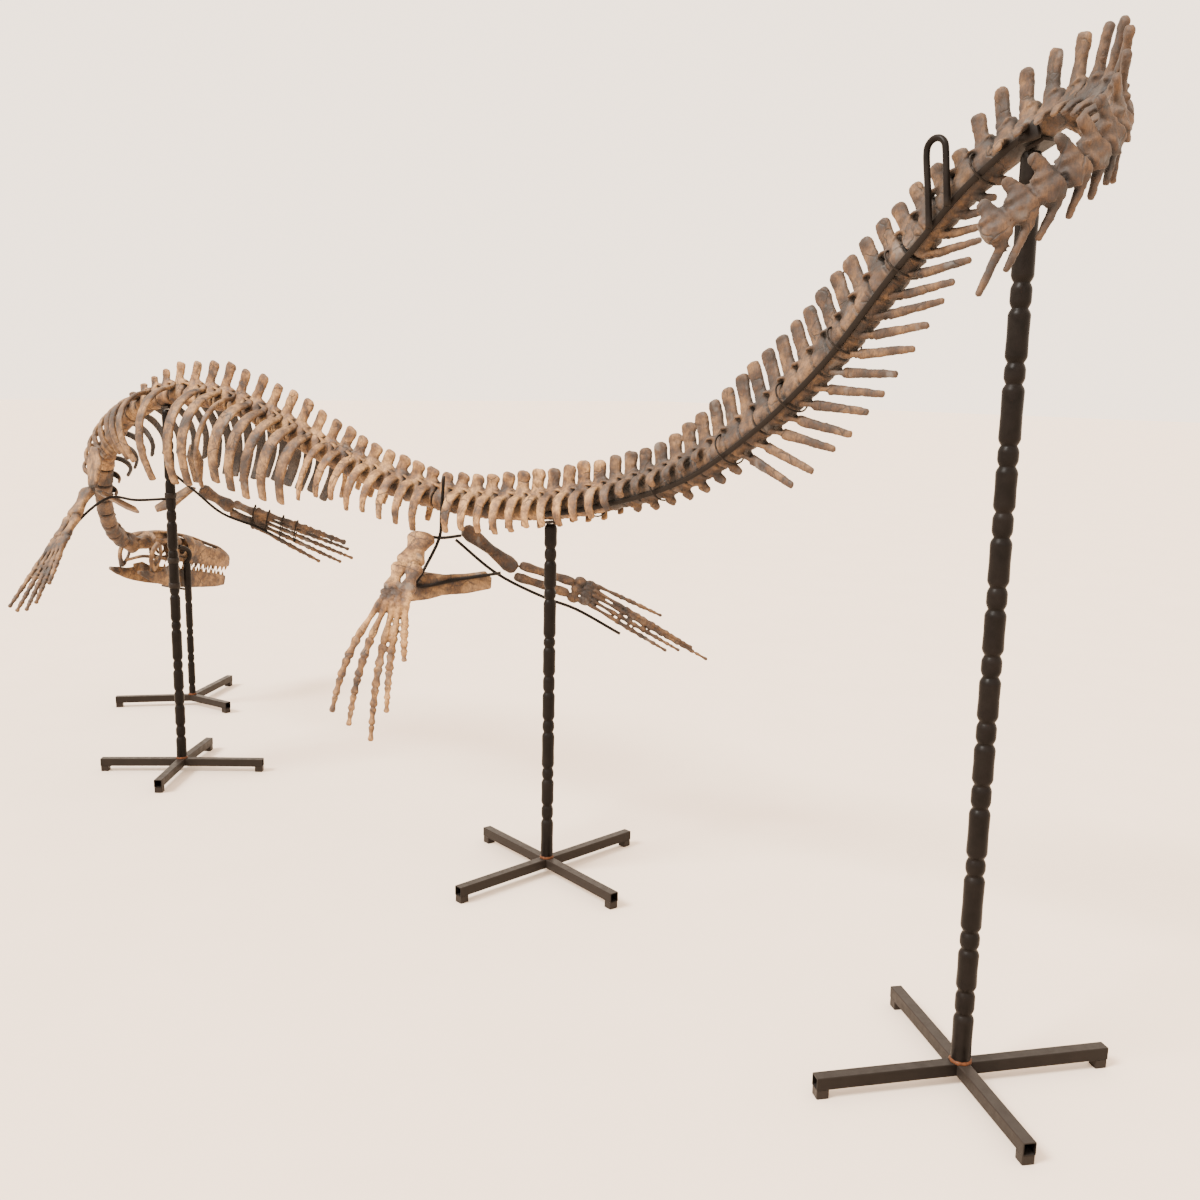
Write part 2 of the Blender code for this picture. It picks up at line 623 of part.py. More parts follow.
def lower_jaw():
    body = Body()
    rows = []
    for x, half, low, high in JAW_SECTIONS:
        rows.append((x, half, half - JAW_THICKNESS, low, high))
    rings = []
    for hand, order in ((1.0, rows), (-1.0, rows[::-1])):
        for x, outer, inner, low, high in order:
            inner = max(inner, 0.004)
            corners = [(outer, low), (outer, high), (inner, high), (inner, low)]
            rings.append(body.ring([jaw_point(x, hand * y, z) for y, z in corners]))
        if hand > 0:
            rear = JAW_LENGTH - CHIN_REAR[1]
            rings.append(body.ring([jaw_point(JAW_LENGTH, 0, CHIN[0]), jaw_point(JAW_LENGTH, 0, CHIN[1]),
                                    jaw_point(rear, 0, CHIN[1]), jaw_point(rear, 0, CHIN_REAR[0])]))
    body.faces.append(rings[0][::-1])
    for a, b in zip(rings, rings[1:]):
        body.bridge(a, b)
    body.faces.append(rings[-1])
    jaw = body.build("lower_jaw", bone())
    up = jaw_point(0, 0, 1) - jaw_point(0, 0, 0)
    teeth = []
    for index in range(TEETH_PER_SIDE):
        x = 0.185 + (JAW_LENGTH - 0.205) * (index + 0.5) / TEETH_PER_SIDE
        half = along([(row[0], row[1]) for row in JAW_SECTIONS], x)
        high = along([(row[0], row[3]) for row in JAW_SECTIONS], x)
        for hand in (1.0, -1.0):
            teeth.append(jaw_point(x, hand * (half - JAW_THICKNESS / 2), high))
    join_on(jaw, tooth_cones("lower_teeth", teeth, LOWER_TOOTH, up))
    return jaw


# ---------------------------------------------------------------- limbs and girdles
DIGIT = ((0.15, 0.72), (1.0, 0.40))          # (share of its length, half width) in half its root's width
BROAD_DIGIT = ((0.15, 0.80), (0.45, 1.55), (0.80, 1.45), (1.0, 0.50))


def paddle(name, joints, widths, tips, chord, broad=None):
    """A flipper: one flat bony limb that ends in five digits.

    joints are the shoulder or hip, the elbow or knee and the wrist; widths are the
    limb's half widths there; tips are the ends of the digits, in order across the limb
    towards its chord, so that no digit crosses another; broad is the place of a digit
    that is much wider than the others.
    """
    body = Body()
    joints = [Vector(p) for p in joints]
    tips = [Vector(p) for p in tips]
    chord = Vector(chord).normalized()
    axis = (joints[-1] - joints[0]).normalized()
    flat = axis.cross(chord).normalized()
    across = flat.cross(axis).normalized()
    digits = len(tips)
    levels = [(joints[0], widths[0], 0.021), (joints[0].lerp(joints[1], 0.5), 0.70 * widths[0], 0.016),
              (joints[1], widths[1], 0.016), (joints[1].lerp(joints[2], 0.55), 0.86 * widths[1], 0.011),
              (joints[2], widths[2], 0.011)]
    rings = []
    for centre, half, thick in levels:
        row = []
        for index in range(digits + 1):
            share = 2.0 * index / digits - 1.0
            edge = 0.55 if index in (0, digits) else 1.0
            row.append((share * half, thick * edge))
        top = [centre + across * y + flat * t for y, t in row]
        under = [centre + across * y - flat * t for y, t in row[::-1]]
        rings.append(body.ring(top + under))
    body.faces.append(rings[0][::-1])
    for a, b in zip(rings, rings[1:]):
        body.bridge(a, b)
    wrist = rings[-1]
    for index, tip in enumerate(tips):
        corners = [wrist[index], wrist[index + 1], wrist[2 * digits - index], wrist[2 * digits + 1 - index]]
        root = sum((body.points[i] for i in corners), Vector()) / 4
        half = widths[2] / digits
        sections = []
        for share, size in BROAD_DIGIT if index == broad else DIGIT:
            centre = root.lerp(tip, share)
            y = across * half * size
            t = flat * (0.0100 - 0.0040 * share)
            sections.append([centre - y + t, centre + y + t, centre + y - t, centre - y - t])
        body.grow(corners, sections)
    return body.build(name, bone())


def plate(name, outline, normal):
    """A flat bone: an outline in space, thickened along its normal."""
    body = Body()
    shift = Vector(normal).normalized() * PLATE_THICKNESS / 2
    front = body.ring([Vector(p) + shift for p in outline])
    back = body.ring([Vector(p) - shift for p in outline])
    body.faces.append(front)
    body.faces.append(back[::-1])
    body.bridge(front, back)
    return body.build(name, bone())


PLATE_THICKNESS = 0.017
SHOULDER_X = -1.545
SHOULDER_MIDDLE_Y = -0.315
SHOULDER_REACH = 0.215
SHOULDER_Z = 1.155
CORACOID_DROP = 0.60          # fall towards the middle for each unit of reach


def shoulder_girdle(side, hand):
    """Fan-shaped shoulder blade and coracoid, which meet at the shoulder joint."""
    y = SHOULDER_MIDDLE_Y + hand * SHOULDER_REACH
    blade = []
    for angle, radius in ((200, 0.040), (125, 0.120), (100, 0.150), (75, 0.150), (45, 0.115), (-20, 0.040)):
        a = math.radians(angle)
        blade.append((SHOULDER_X + radius * math.cos(a), y - hand * 0.10 * radius * math.sin(a),
                      SHOULDER_Z + 0.016 + radius * math.sin(a)))
    plate("scapula_" + side, blade, (0, 1, 0.1 * hand))
    fan = []
    for angle, radius in ((20, 0.038), (60, 0.150), (90, 0.170), (115, 0.165), (160, 0.038)):
        a = math.radians(angle)
        fan.append((SHOULDER_X + radius * math.cos(a), y - hand * (0.010 + radius * math.sin(a)),
                    SHOULDER_Z - 0.006 - CORACOID_DROP * radius * math.sin(a)))
    plate("coracoid_" + side, fan, (0, -CORACOID_DROP * hand, 1))


def flippers():
    """The four flippers, each spread as it hangs from its own shoulder or hip."""
    left_fore = [(-1.420, -0.905, 0.735), (-1.385, -0.890, 0.722), (-1.355, -0.865, 0.728),
                 (-1.335, -0.835, 0.755), (-1.330, -0.785, 0.825)]
    paddle("fore_flipper_left", [(-1.553, -0.5465, 1.146), (-1.507, -0.625, 1.050), (-1.467, -0.705, 0.950)],
           (0.040, 0.048, 0.056), left_fore, (1.0, 0.10, 0.0))
    right_fore = [(-1.240, 0.297, 0.828), (-1.165, 0.357, 0.830), (-1.115, 0.385, 0.850),
                  (-1.112, 0.365, 0.890), (-1.099, 0.341, 0.922)]
    paddle("fore_flipper_right", [(-1.540, -0.0815, 1.127), (-1.450, 0.008, 1.055), (-1.370, 0.098, 1.003)],
           (0.038, 0.045, 0.052), right_fore, (0.35, -0.20, 1.0), len(right_fore) - 1)
    left_hind = [(0.090, -0.405, 0.577), (0.122, -0.365, 0.533), (0.153, -0.305, 0.478),
                 (0.168, -0.255, 0.567), (0.185, -0.198, 0.730)]
    paddle("hind_flipper_left", [(0.012, -0.012, 1.098), (0.078, -0.110, 1.018), (0.143, -0.206, 0.918)],
           (0.040, 0.046, 0.050), left_hind, (0.60, 0.72, 0.0))
    right_hind = [(0.385, 0.745, 0.800), (0.505, 0.783, 0.700), (0.541, 0.824, 0.658),
                  (0.480, 0.745, 0.690), (0.455, 0.705, 0.690)]
    paddle("hind_flipper_right", [(-0.025, 0.190, 1.100), (0.075, 0.335, 0.960), (0.252, 0.530, 0.880)],
           (0.034, 0.040, 0.044), right_hind, (0.3, 0.1, -1.0))


PELVIS_FRONT = Vector((-0.050, -0.030, 0.940))
PELVIS_REAR = Vector((0.135, 0.175, 0.925))
PELVIS_SPREAD = GAP + PLATE_THICKNESS / 2
PELVIS_LONG = (PELVIS_REAR - PELVIS_FRONT).normalized()
PELVIS_SIDE = Vector((0, 0, 1)).cross(PELVIS_LONG).normalized()


def pelvis():
    """The two sides of the hip girdle, held below the backbone on their own rod."""
    outline = ((0.00, 0.036), (0.10, 0.018), (0.19, 0.022), (0.26, 0.046),
               (0.28, 0.000), (0.20, -0.014), (0.12, -0.022), (0.07, -0.052), (0.00, -0.070))
    for name, hand in (("pelvis_left", -1.0), ("pelvis_right", 1.0)):
        points = [PELVIS_FRONT + PELVIS_LONG * x + Vector((0, 0, z)) + PELVIS_SIDE * hand * PELVIS_SPREAD
                  for x, z in outline]
        plate(name, points, PELVIS_SIDE)


# ---------------------------------------------------------------- stands
def base_of_stand(name, centre, legs):
    """Square-tube legs that meet under the pole, each with a block foot at its end."""
    body = Body()
    half = TUBE / 2
    corners_per_leg = 5
    legs = sorted((math.radians(a % 360.0), reach) for a, reach in legs)
    plan = []
    for index, (angle, reach) in enumerate(legs):
        following = legs[(index + 1) % len(legs)][0]
        spread = (following - angle) % (2 * math.pi)
        along_leg = Vector((math.cos(angle), math.sin(angle)))
        aside = Vector((-along_leg.y, along_leg.x))
        corner = along_leg * (half / math.tan(spread / 2)) + aside * half
        foot = along_leg * (reach - TUBE)
        end = along_leg * reach
        plan += [("foot", foot - aside * half), ("end", end - aside * half),
                 ("end", end + aside * half), ("foot", foot + aside * half), ("root", corner)]
    place = [(kind, Vector((centre[0] + p.x, centre[1] + p.y))) for kind, p in plan]
    top = body.ring([(p.x, p.y, FOOT_HEIGHT + TUBE) for kind, p in place])
    low = body.ring([(p.x, p.y, FOOT_HEIGHT) for kind, p in place])
    body.faces.append(top)
    body.bridge(top, low)
    body.faces.append([i for i, (kind, p) in zip(low, place) if kind != "end"][::-1])
    for start in range(0, len(low), corners_per_leg):
        corners = low[start:start + 4]
        ground = [(body.points[i].x, body.points[i].y, 0.0) for i in corners]
        body.grow(corners, [ground])
    return body.build(name, steel())


def turned_pole(name, centre, height, full):
    """A pole of long turned lengths and short beads, with a groove between them."""
    body = Body()
    low = FOOT_HEIGHT + TUBE + GAP
    slim = NECK_SHARE * full
    pattern = (LONG_TURNING, LONG_TURNING, SHORT_TURNING, LONG_TURNING, SHORT_TURNING)
    levels = [(low, full)]
    place = low
    index = 0
    while height - place > 1.6 * LONG_TURNING:
        place += pattern[index % len(pattern)]
        index += 1
        levels += [(place - GROOVE, full), (place, slim), (place + GROOVE, full)]
    levels.append((height, full))
    rings = []
    for z, radius in levels:
        rings.append(body.ring([(centre[0] + radius * math.cos(2 * math.pi * k / POLE_SIDES),
                                 centre[1] + radius * math.sin(2 * math.pi * k / POLE_SIDES), z)
                                for k in range(POLE_SIDES)]))
    body.faces.append(rings[0][::-1])
    for a, b in zip(rings, rings[1:]):
        body.bridge(a, b)
    body.faces.append(rings[-1])
    return body.build(name, steel())


def rod(name, points, radius=ROD_RADIUS, sides=5):
    """A bent round rod through the points."""
    body = Body()
    points = [Vector(p) for p in points]
    previous = None
    rings = []
    for index, point in enumerate(points):
        ahead = points[min(index + 1, len(points) - 1)] - point
        behind = point - points[max(index - 1, 0)]
        if ahead.length < 1e-9:
            ahead = behind
        if behind.length < 1e-9:
            behind = ahead
        axis = (ahead.normalized() + behind.normalized()).normalized()
        if previous is None:
            across = axis.orthogonal().normalized()
        else:
            across = (previous - axis * previous.dot(axis)).normalized()
        previous = across
        other = axis.cross(across)
        rings.append(body.ring([point + (across * math.cos(2 * math.pi * k / sides)
                                         + other * math.sin(2 * math.pi * k / sides)) * radius
                                for k in range(sides)]))
    body.faces.append(rings[0][::-1])
    for a, b in zip(rings, rings[1:]):
        body.bridge(a, b)
    body.faces.append(rings[-1])
    return body.build(name, steel())


def nearest_station(centre):
    """Arc length where the backbone passes over a pole."""
    best = None
    steps = 600
    for index in range(steps + 1):
        s = SPINE.length * index / steps
        p = SPINE.point(s)
        distance = (p.x - centre[0]) ** 2 + (p.y - centre[1]) ** 2
        if best is None or distance < best[0]:
            best = (distance, s)
    return best[1]


BAR_OUT = Vector((1.0, -0.5)).normalized()      # across the bar, away from the backbone
BAR_RUN = Vector((-0.5, -1.0)).normalized()     # down the bar's face


def bar_middle(s):
    """Middle of the flank bar, as its offsets to the left of the backbone and up from it."""
    r = along(CENTRUM_RADIUS, s)
    return Vector((0.75 * r, -0.4 * r)) + BAR_OUT * (SEAT_GAP + BAR_THICKNESS / 2)


def flank_bar():
    """Flat steel bar along the left lower flank of the tail, from stand to stand."""
    body = Body()
    rings = []
    for index in range(BAR_STEPS + 1):
        s = BAR_FIRST + (BAR_LAST - BAR_FIRST) * index / BAR_STEPS
        middle = bar_middle(s)
        ring = []
        for a, b in ((-1, -1), (-1, 1), (1, 1), (1, -1)):
            p = middle + BAR_OUT * a * BAR_THICKNESS / 2 + BAR_RUN * b * BAR_WIDTH / 2
            ring.append(SPINE.place(s, p.x, p.y))
        rings.append(body.ring(ring))
    body.faces.append(rings[0][::-1])
    for a, b in zip(rings, rings[1:]):
        body.bridge(a, b)
    body.faces.append(rings[-1])
    return body.build("stand_flank_bar", steel())


def lifting_loop():
    """Hook of round rod whose two feet stand beside the flank bar."""
    middle = sum(LOOP_FEET) / 2
    corner = bar_middle(LOOP_FEET[0]) + BAR_OUT * BAR_THICKNESS / 2 - BAR_RUN * BAR_WIDTH / 2
    aside = corner.x + LOOP_ROD + SEAT_GAP
    feet = [SPINE.place(s, aside, corner.y - LOOP_OVERLAP) for s in LOOP_FEET]
    rise = Vector((0, 0, 1 - LOOP_LEAN)) + SPINE.frame(middle)[2] * LOOP_LEAN
    top = SPINE.point(middle).z + LOOP_HEIGHT - (feet[1] - feet[0]).xy.length / 2
    ends = [foot + rise * (top - foot.z) / rise.z for foot in feet]
    half = (ends[1] - ends[0]) / 2
    points = [feet[0]]
    for step in range(LOOP_STEPS + 1):
        a = math.pi * step / LOOP_STEPS
        bow = Vector((0, 0, half.length * math.sin(a)))
        points.append((ends[0] + ends[1]) / 2 - half * math.cos(a) + bow)
    points.append(feet[1])
    rod("stand_lifting_loop", points, LOOP_ROD, 6)


def saddle(name, s):
    """Small steel seat between the top of a pole and the backbone."""
    r = along(CENTRUM_RADIUS, s)
    high = -KEEL * r - SEAT_GAP
    low = high - SADDLE_THICKNESS
    wide = SADDLE_HALF_WIDTH
    body = Body()
    rings = []
    for back in (-SADDLE_LENGTH / 2, SADDLE_LENGTH / 2):
        corners = ((wide, high), (-wide, high), (-wide, low), (wide, low))
        rings.append(body.ring([SPINE.place(s, y, z, back) for y, z in corners]))
    body.faces.append(rings[0][::-1])
    body.bridge(rings[0], rings[1])
    body.faces.append(rings[1])
    return body.build(name, steel())


def head_stand():
    """Pole that passes the right side of the jaw, with a bar under the jaw and an arm to the cheek."""
    centre = STANDS["head"][0]
    full = POLE_RADIUS["head"]
    half = along([(row[0], row[1]) for row in JAW_SECTIONS], JAW_BAR_PLACE)
    low = along([(row[0], row[2]) for row in JAW_SECTIONS], JAW_BAR_PLACE)
    far = jaw_point(JAW_BAR_PLACE, half + JAW_BAR_END, low - ROD_RADIUS - SEAT_GAP)
    across = Vector((centre[0], centre[1], far.z)) - far
    near = far + across * (1.0 - (full + GAP) / across.length)
    rod("stand_jaw_bar", [far, near], ROD_RADIUS, 6)
    turned_pole("stand_head_pole", centre, HEAD_POLE_TOP, full)
    side = along([(row[0], row[3]) for row in SKULL_SECTIONS], CHEEK[0])
    touch = skull_point(CHEEK[0], -side - SEAT_GAP, CHEEK[1])
    foot = Vector((centre[0], centre[1], HEAD_POLE_TOP + GAP))
    arm = [foot, foot + Vector((0, 0, ARM_FOOT))]
    arm += [skull_point(*place) for place in SKULL_ARM]
    arm += [skull_point(CHEEK[0], SKULL_ARM[-1][1], CHEEK[1]), touch]
    rod("stand_skull_rod", arm, SKULL_ROD_RADIUS, 6)


def stands():
    for name, (centre, legs) in STANDS.items():
        base_of_stand("stand_" + name + "_base", centre, legs)
    for name in ("tail", "mid", "shoulder"):
        centre = STANDS[name][0]
        seat = saddle("stand_" + name + "_saddle", nearest_station(centre))
        lowest = min(v.co.z for v in seat.data.vertices)
        turned_pole("stand_" + name + "_pole", centre, lowest - GAP, POLE_RADIUS[name])
    head_stand()
    flank_bar()
    lifting_loop()


def shoulder_rods():
    """Rods from the shoulder pole that carry the two front flippers."""
    pole = STANDS["shoulder"][0]
    clear = POLE_RADIUS["shoulder"] + ROD_RADIUS + GAP
    left_rod = [(pole[0] - clear, pole[1] - 0.002, 1.118), (-1.430, -0.410, 1.112),
                (-1.492, -0.470, 1.122), (-1.496, -0.520, 1.105), (-1.507, -0.604, 1.034),
                (-1.467, -0.690, 0.938), (-1.422, -0.757, 0.853)]
    right_rod = [(pole[0] - 0.002, pole[1] + clear, 1.210), (-1.372, -0.180, 1.135),
                 (-1.400, -0.060, 1.040), (-1.366, 0.085, 0.974), (-1.325, 0.125, 0.945)]
    rod("stand_shoulder_rod_left", left_rod)
    rod("stand_shoulder_rod_right", right_rod)


def hip_rods():
    """Rods that hang the hip girdle and the two rear flippers from the backbone."""
    aside = along(CENTRUM_RADIUS, HIP_STATION) + ROD_RADIUS + SEAT_GAP
    face = -PELVIS_SIDE * (PELVIS_SPREAD + PLATE_THICKNESS / 2 + ROD_RADIUS + SEAT_GAP)
    front, rear = (PELVIS_FRONT + PELVIS_LONG * x + Vector((0, 0, z)) + face for x, z in HIP_ROD_ENDS)
    hanger = [SPINE.place(HIP_STATION, aside, high) for high in HIP_STRAP]
    hanger += [(0.0085, 0.058, 1.087), (0.0065, -0.0055, 0.980), front, front.lerp(rear, 0.5), rear]
    rod("stand_hip_rod", hanger)
    rod("stand_hip_crossbar", [(0.003, 0.020, 1.092), (-0.008, 0.083, 1.083), (-0.021, 0.165, 1.083)])
    rod("stand_hind_rod_right", [(-0.026, 0.148, 1.070), (0.054, 0.265, 0.952), (0.166, 0.389, 0.871),
                                 (0.228, 0.474, 0.832), (0.334, 0.592, 0.746)])


def stand_on_origin():
    """Move everything so that the middle of the box's underside is the origin."""
    corners = [v.co for thing in bpy.data.objects if thing.type == "MESH" for v in thing.data.vertices]
    low = Vector([min(c[k] for c in corners) for k in range(3)])
    high = Vector([max(c[k] for c in corners) for k in range(3)])
    shift = Vector((-(low.x + high.x) / 2, -(low.y + high.y) / 2, -low.z))
    for thing in bpy.data.objects:
        if thing.type == "MESH":
            for vertex in thing.data.vertices:
                vertex.co += shift


def main():
    clear_scene()
    skull()
    lower_jaw()
    backbone("neck", NECK, bone())
    rib_cage_side("rib_cage_left", True)
    rib_cage_side("rib_cage_right", False)
    backbone("loin", LOIN, bone())
    backbone("tail_base", TAIL_BASE, bone())
    for index, stretch in enumerate(TAIL_LENGTHS):
        backbone("tail_" + str(index + 1), stretch, dark_bone())
    shoulder_girdle("left", -1.0)
    shoulder_girdle("right", 1.0)
    flippers()
    pelvis()
    stands()
    shoulder_rods()
    hip_rods()
    stand_on_origin()


main()
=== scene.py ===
import math
import random

import bpy
import numpy as np
from mathutils import Matrix, Vector


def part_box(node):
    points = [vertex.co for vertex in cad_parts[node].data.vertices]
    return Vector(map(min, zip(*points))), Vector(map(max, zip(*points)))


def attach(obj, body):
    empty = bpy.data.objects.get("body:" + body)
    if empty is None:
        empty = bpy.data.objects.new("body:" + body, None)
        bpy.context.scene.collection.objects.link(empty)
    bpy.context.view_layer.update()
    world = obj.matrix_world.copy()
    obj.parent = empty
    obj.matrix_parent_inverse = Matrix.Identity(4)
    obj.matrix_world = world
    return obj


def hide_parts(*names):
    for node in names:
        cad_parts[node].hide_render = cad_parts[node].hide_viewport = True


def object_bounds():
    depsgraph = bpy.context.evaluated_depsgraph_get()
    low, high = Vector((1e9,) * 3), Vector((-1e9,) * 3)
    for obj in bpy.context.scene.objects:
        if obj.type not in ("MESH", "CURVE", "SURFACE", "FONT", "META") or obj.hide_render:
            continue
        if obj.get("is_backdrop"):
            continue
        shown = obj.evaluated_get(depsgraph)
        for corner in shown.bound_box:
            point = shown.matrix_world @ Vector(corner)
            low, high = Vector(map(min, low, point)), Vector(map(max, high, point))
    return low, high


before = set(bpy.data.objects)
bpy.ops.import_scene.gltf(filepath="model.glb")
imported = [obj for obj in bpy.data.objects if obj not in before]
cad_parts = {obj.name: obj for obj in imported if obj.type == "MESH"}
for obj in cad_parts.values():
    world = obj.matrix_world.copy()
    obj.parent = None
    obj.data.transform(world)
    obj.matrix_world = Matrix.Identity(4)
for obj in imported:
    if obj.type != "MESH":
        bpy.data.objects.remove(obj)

CAD_LOW, CAD_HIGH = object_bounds()

# ------------------------------------------------------------------ where things are
pole_low, pole_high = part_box("stand_tail_pole")
TAIL_POLE = Vector((2.007, 0.172))
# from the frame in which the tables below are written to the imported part's
SHIFT = Vector(((pole_low.x + pole_high.x) / 2 - TAIL_POLE.x,
                (pole_low.y + pole_high.y) / 2 - TAIL_POLE.y, 0.0))

# the backbone's centre line, from the head to the tail's tip
SPINE_STATIONS = (
    (-2.3036, -0.0910, 0.7974), (-2.2233, -0.1975, 0.8662), (-2.1026, -0.2821, 0.9793), (-1.980, -0.332, 1.116),
    (-1.848, -0.355, 1.275), (-1.677, -0.354, 1.400), (-1.480, -0.322, 1.486), (-1.269, -0.288, 1.527),
    (-1.020, -0.212, 1.507), (-0.789, -0.144, 1.445), (-0.493, -0.066, 1.336), (-0.178, 0.024, 1.243),
    (0.111, 0.110, 1.205), (0.408, 0.182, 1.218), (0.711, 0.230, 1.280), (0.983, 0.258, 1.369),
    (1.245, 0.255, 1.521), (1.478, 0.240, 1.702), (1.684, 0.219, 1.911), (1.828, 0.214, 2.050),
    (1.990, 0.190, 2.146), (2.126, 0.150, 2.178), (2.218, 0.076, 2.154), (2.284, -0.033, 2.082),
    (2.279, -0.144, 2.004), (2.233, -0.216, 1.942), (2.176, -0.259, 1.883))
NECK_START = -0.0324
# arc length of each node's start and end, and its count of vertebrae
STRETCHES = {
    "neck": (NECK_START, 0.62, 7), "rib_cage": (0.62, 2.15, 19), "loin": (2.15, 2.70, 8),
    "tail_base": (2.70, 3.42, 11), "tail_1": (3.42, 4.04, 10), "tail_2": (4.04, 4.66, 10),
    "tail_3": (4.66, 5.18, 9), "tail_4": (5.18, 5.78, 11)}
# sizes by arc length along the backbone, in metres and degrees
CENTRUM_RADIUS = ((0.0, 0.036), (0.62, 0.041), (2.2, 0.043), (3.4, 0.046), (4.5, 0.046), (4.9, 0.041),
                  (5.2, 0.034), (5.5, 0.026), (5.78, 0.018))
SPINE_HEIGHT = ((0.0, 0.055), (0.6, 0.065), (1.05, 0.075), (1.25, 0.105), (1.5, 0.150), (1.95, 0.150),
                (2.35, 0.118), (2.68, 0.094), (3.2, 0.126), (3.55, 0.116), (4.0, 0.160), (4.4, 0.155),
                (4.75, 0.105), (4.83, 0.085), (4.90, 0.125), (5.0, 0.130), (5.25, 0.150),
                (5.45, 0.080), (5.78, 0.050))
RIB_DEPTH = ((0.0, 0.03), (0.5, 0.045), (0.62, 0.13), (0.9, 0.20), (1.1, 0.25), (1.3, 0.345), (1.45, 0.38),
             (1.6, 0.335), (1.75, 0.31), (1.93, 0.30), (2.0, 0.265), (2.13, 0.235), (2.2, 0.165),
             (2.5, 0.140), (2.7, 0.140), (2.9, 0.115), (3.1, 0.10), (3.38, 0.095), (3.48, 0.045),
             (3.8, 0.030))
RIB_REACH = ((0.0, 0.046), (0.5, 0.056), (0.62, 0.090), (0.9, 0.12), (1.1, 0.17), (1.42, 0.205),
             (1.6, 0.19), (1.9, 0.150), (2.13, 0.115), (2.5, 0.095), (2.8, 0.088), (3.2, 0.080),
             (3.8, 0.062))
CHEVRON_LENGTH = ((3.42, 0.0), (3.5, 0.03), (3.86, 0.045), (3.90, 0.200), (4.1, 0.225), (4.5, 0.195),
                  (4.72, 0.13), (4.8, 0.05), (5.15, 0.05), (5.3, 0.12), (5.45, 0.07), (5.58, 0.075),
                  (5.68, 0.12), (5.78, 0.13))
CHEVRON_SWEEP = ((3.42, 38.0), (3.9, 36.0), (4.05, 44.0), (4.2, 48.0), (4.6, 54.0), (5.2, 50.0),
                 (5.4, 45.0), (5.6, 60.0), (5.78, 64.0))
FIRST_SIDE_PROCESS, LAST_SIDE_PROCESS = 0.40, 3.80
# shares of a vertebra's length: side processes and chevrons, upright spines, ribs
PROCESS_SHARE = ((0.6, 0.50), (2.1, 0.52), (2.2, 0.70), (2.8, 0.78), (3.42, 0.76), (3.7, 0.70), (4.1, 0.60),
                 (4.66, 0.50), (5.78, 0.46))
SPINE_SHARE = ((0.0, 0.46), (0.62, 0.60), (2.1, 0.64), (2.2, 0.76), (3.4, 0.82), (4.6, 0.76), (5.2, 0.66),
               (5.78, 0.58))
SPINE_THICKNESS = ((0.0, 0.013), (2.1, 0.015), (3.4, 0.019), (5.0, 0.019), (5.78, 0.014))
RIB_SHARE = ((0.62, 0.38), (1.0, 0.50), (1.3, 0.68), (1.8, 0.76), (2.15, 0.64))
# places in the rib cage, counted from the neck
LOST_LEFT_RIBS = (8, 10)
THIN_LEFT_RIB = 13
THIN_RIB_SHARE = 0.45
BLUNT_FIRST, BLUNT_LAST = 0.62, 5.18   # between these the upright spines have blunt tips
CURL_START = 4.9
HIP_STATION, HIP_BAY = 2.755, 0.032
SPINE_SWEEP = 14.0
BAR_FIRST, BAR_LAST = 3.17, 5.04
LOOP_FEET = (4.738, 4.805)
BAR_WIDTH, BAR_THICKNESS = 0.014, 0.010
# place of each pole, then its legs as (direction, length)
STANDS = {
    "tail": ((2.007, 0.172), ((60.5, 0.385), (149.0, 0.364), (240.5, 0.366), (328.5, 0.322))),
    "mid": ((0.429, 0.195), ((91.9, 0.380), (178.0, 0.351), (272.0, 0.368), (357.0, 0.356))),
    "shoulder": ((-1.330, -0.306), ((49.6, 0.331), (134.0, 0.290), (231.9, 0.324), (318.5, 0.284))),
    "head": ((-2.2695, 0.147), ((15.8, 0.256), (129.0, 0.400), (239.0, 0.357))),
}
# heights of the grooves of each turned pole: each pair bounds a short bead
GROOVES = {
    "tail": (0.174, 0.232, 0.337, 0.380, 0.518, 0.559, 0.680, 0.735, 0.832, 0.883, 0.987, 1.036,
             1.140, 1.190, 1.300, 1.355, 1.455, 1.500, 1.630, 1.675, 1.788, 1.841, 1.990, 2.035),
    "mid": (0.187, 0.235, 0.325, 0.362, 0.485, 0.525, 0.620, 0.673, 0.769, 0.799, 0.926, 0.960, 1.050, 1.090),
    "shoulder": (0.145, 0.190, 0.279, 0.338, 0.426, 0.464, 0.592, 0.625, 0.735, 0.773, 0.874, 0.915,
                 1.030, 1.075, 1.134, 1.194, 1.310, 1.350),
    "head": (0.101, 0.218, 0.258, 0.349, 0.384, 0.514)}
TUBE = 0.031
FOOT_HEIGHT = 0.022
POLE_RADIUS = {"tail": 0.0240, "mid": 0.0205, "shoulder": 0.0205, "head": 0.0172}
ROD = 0.0055
ROD_RADIUS = 0.0054            # as drawn, just inside the solids
SEAT_GAP = 0.0015
# voxel of each kind of bone's skin, and the depth of its wear
SKINS = {"spine": (0.0039, 0.0042), "rib": (0.0037, 0.0036), "skull": (0.0029, 0.0018), "plate": (0.0026, 0.0018),
         "flipper": (0.0026, 0.0016), "pelvis": (0.0024, 0.0016)}

chance = random.Random(7)


def along(knots, place):
    """Straight-line value of a table of (place, size) knots."""
    if place <= knots[0][0]:
        return knots[0][1]
    for (a, low), (b, high) in zip(knots, knots[1:]):
        if place <= b:
            return low + (high - low) * (place - a) / (b - a)
    return knots[-1][1]


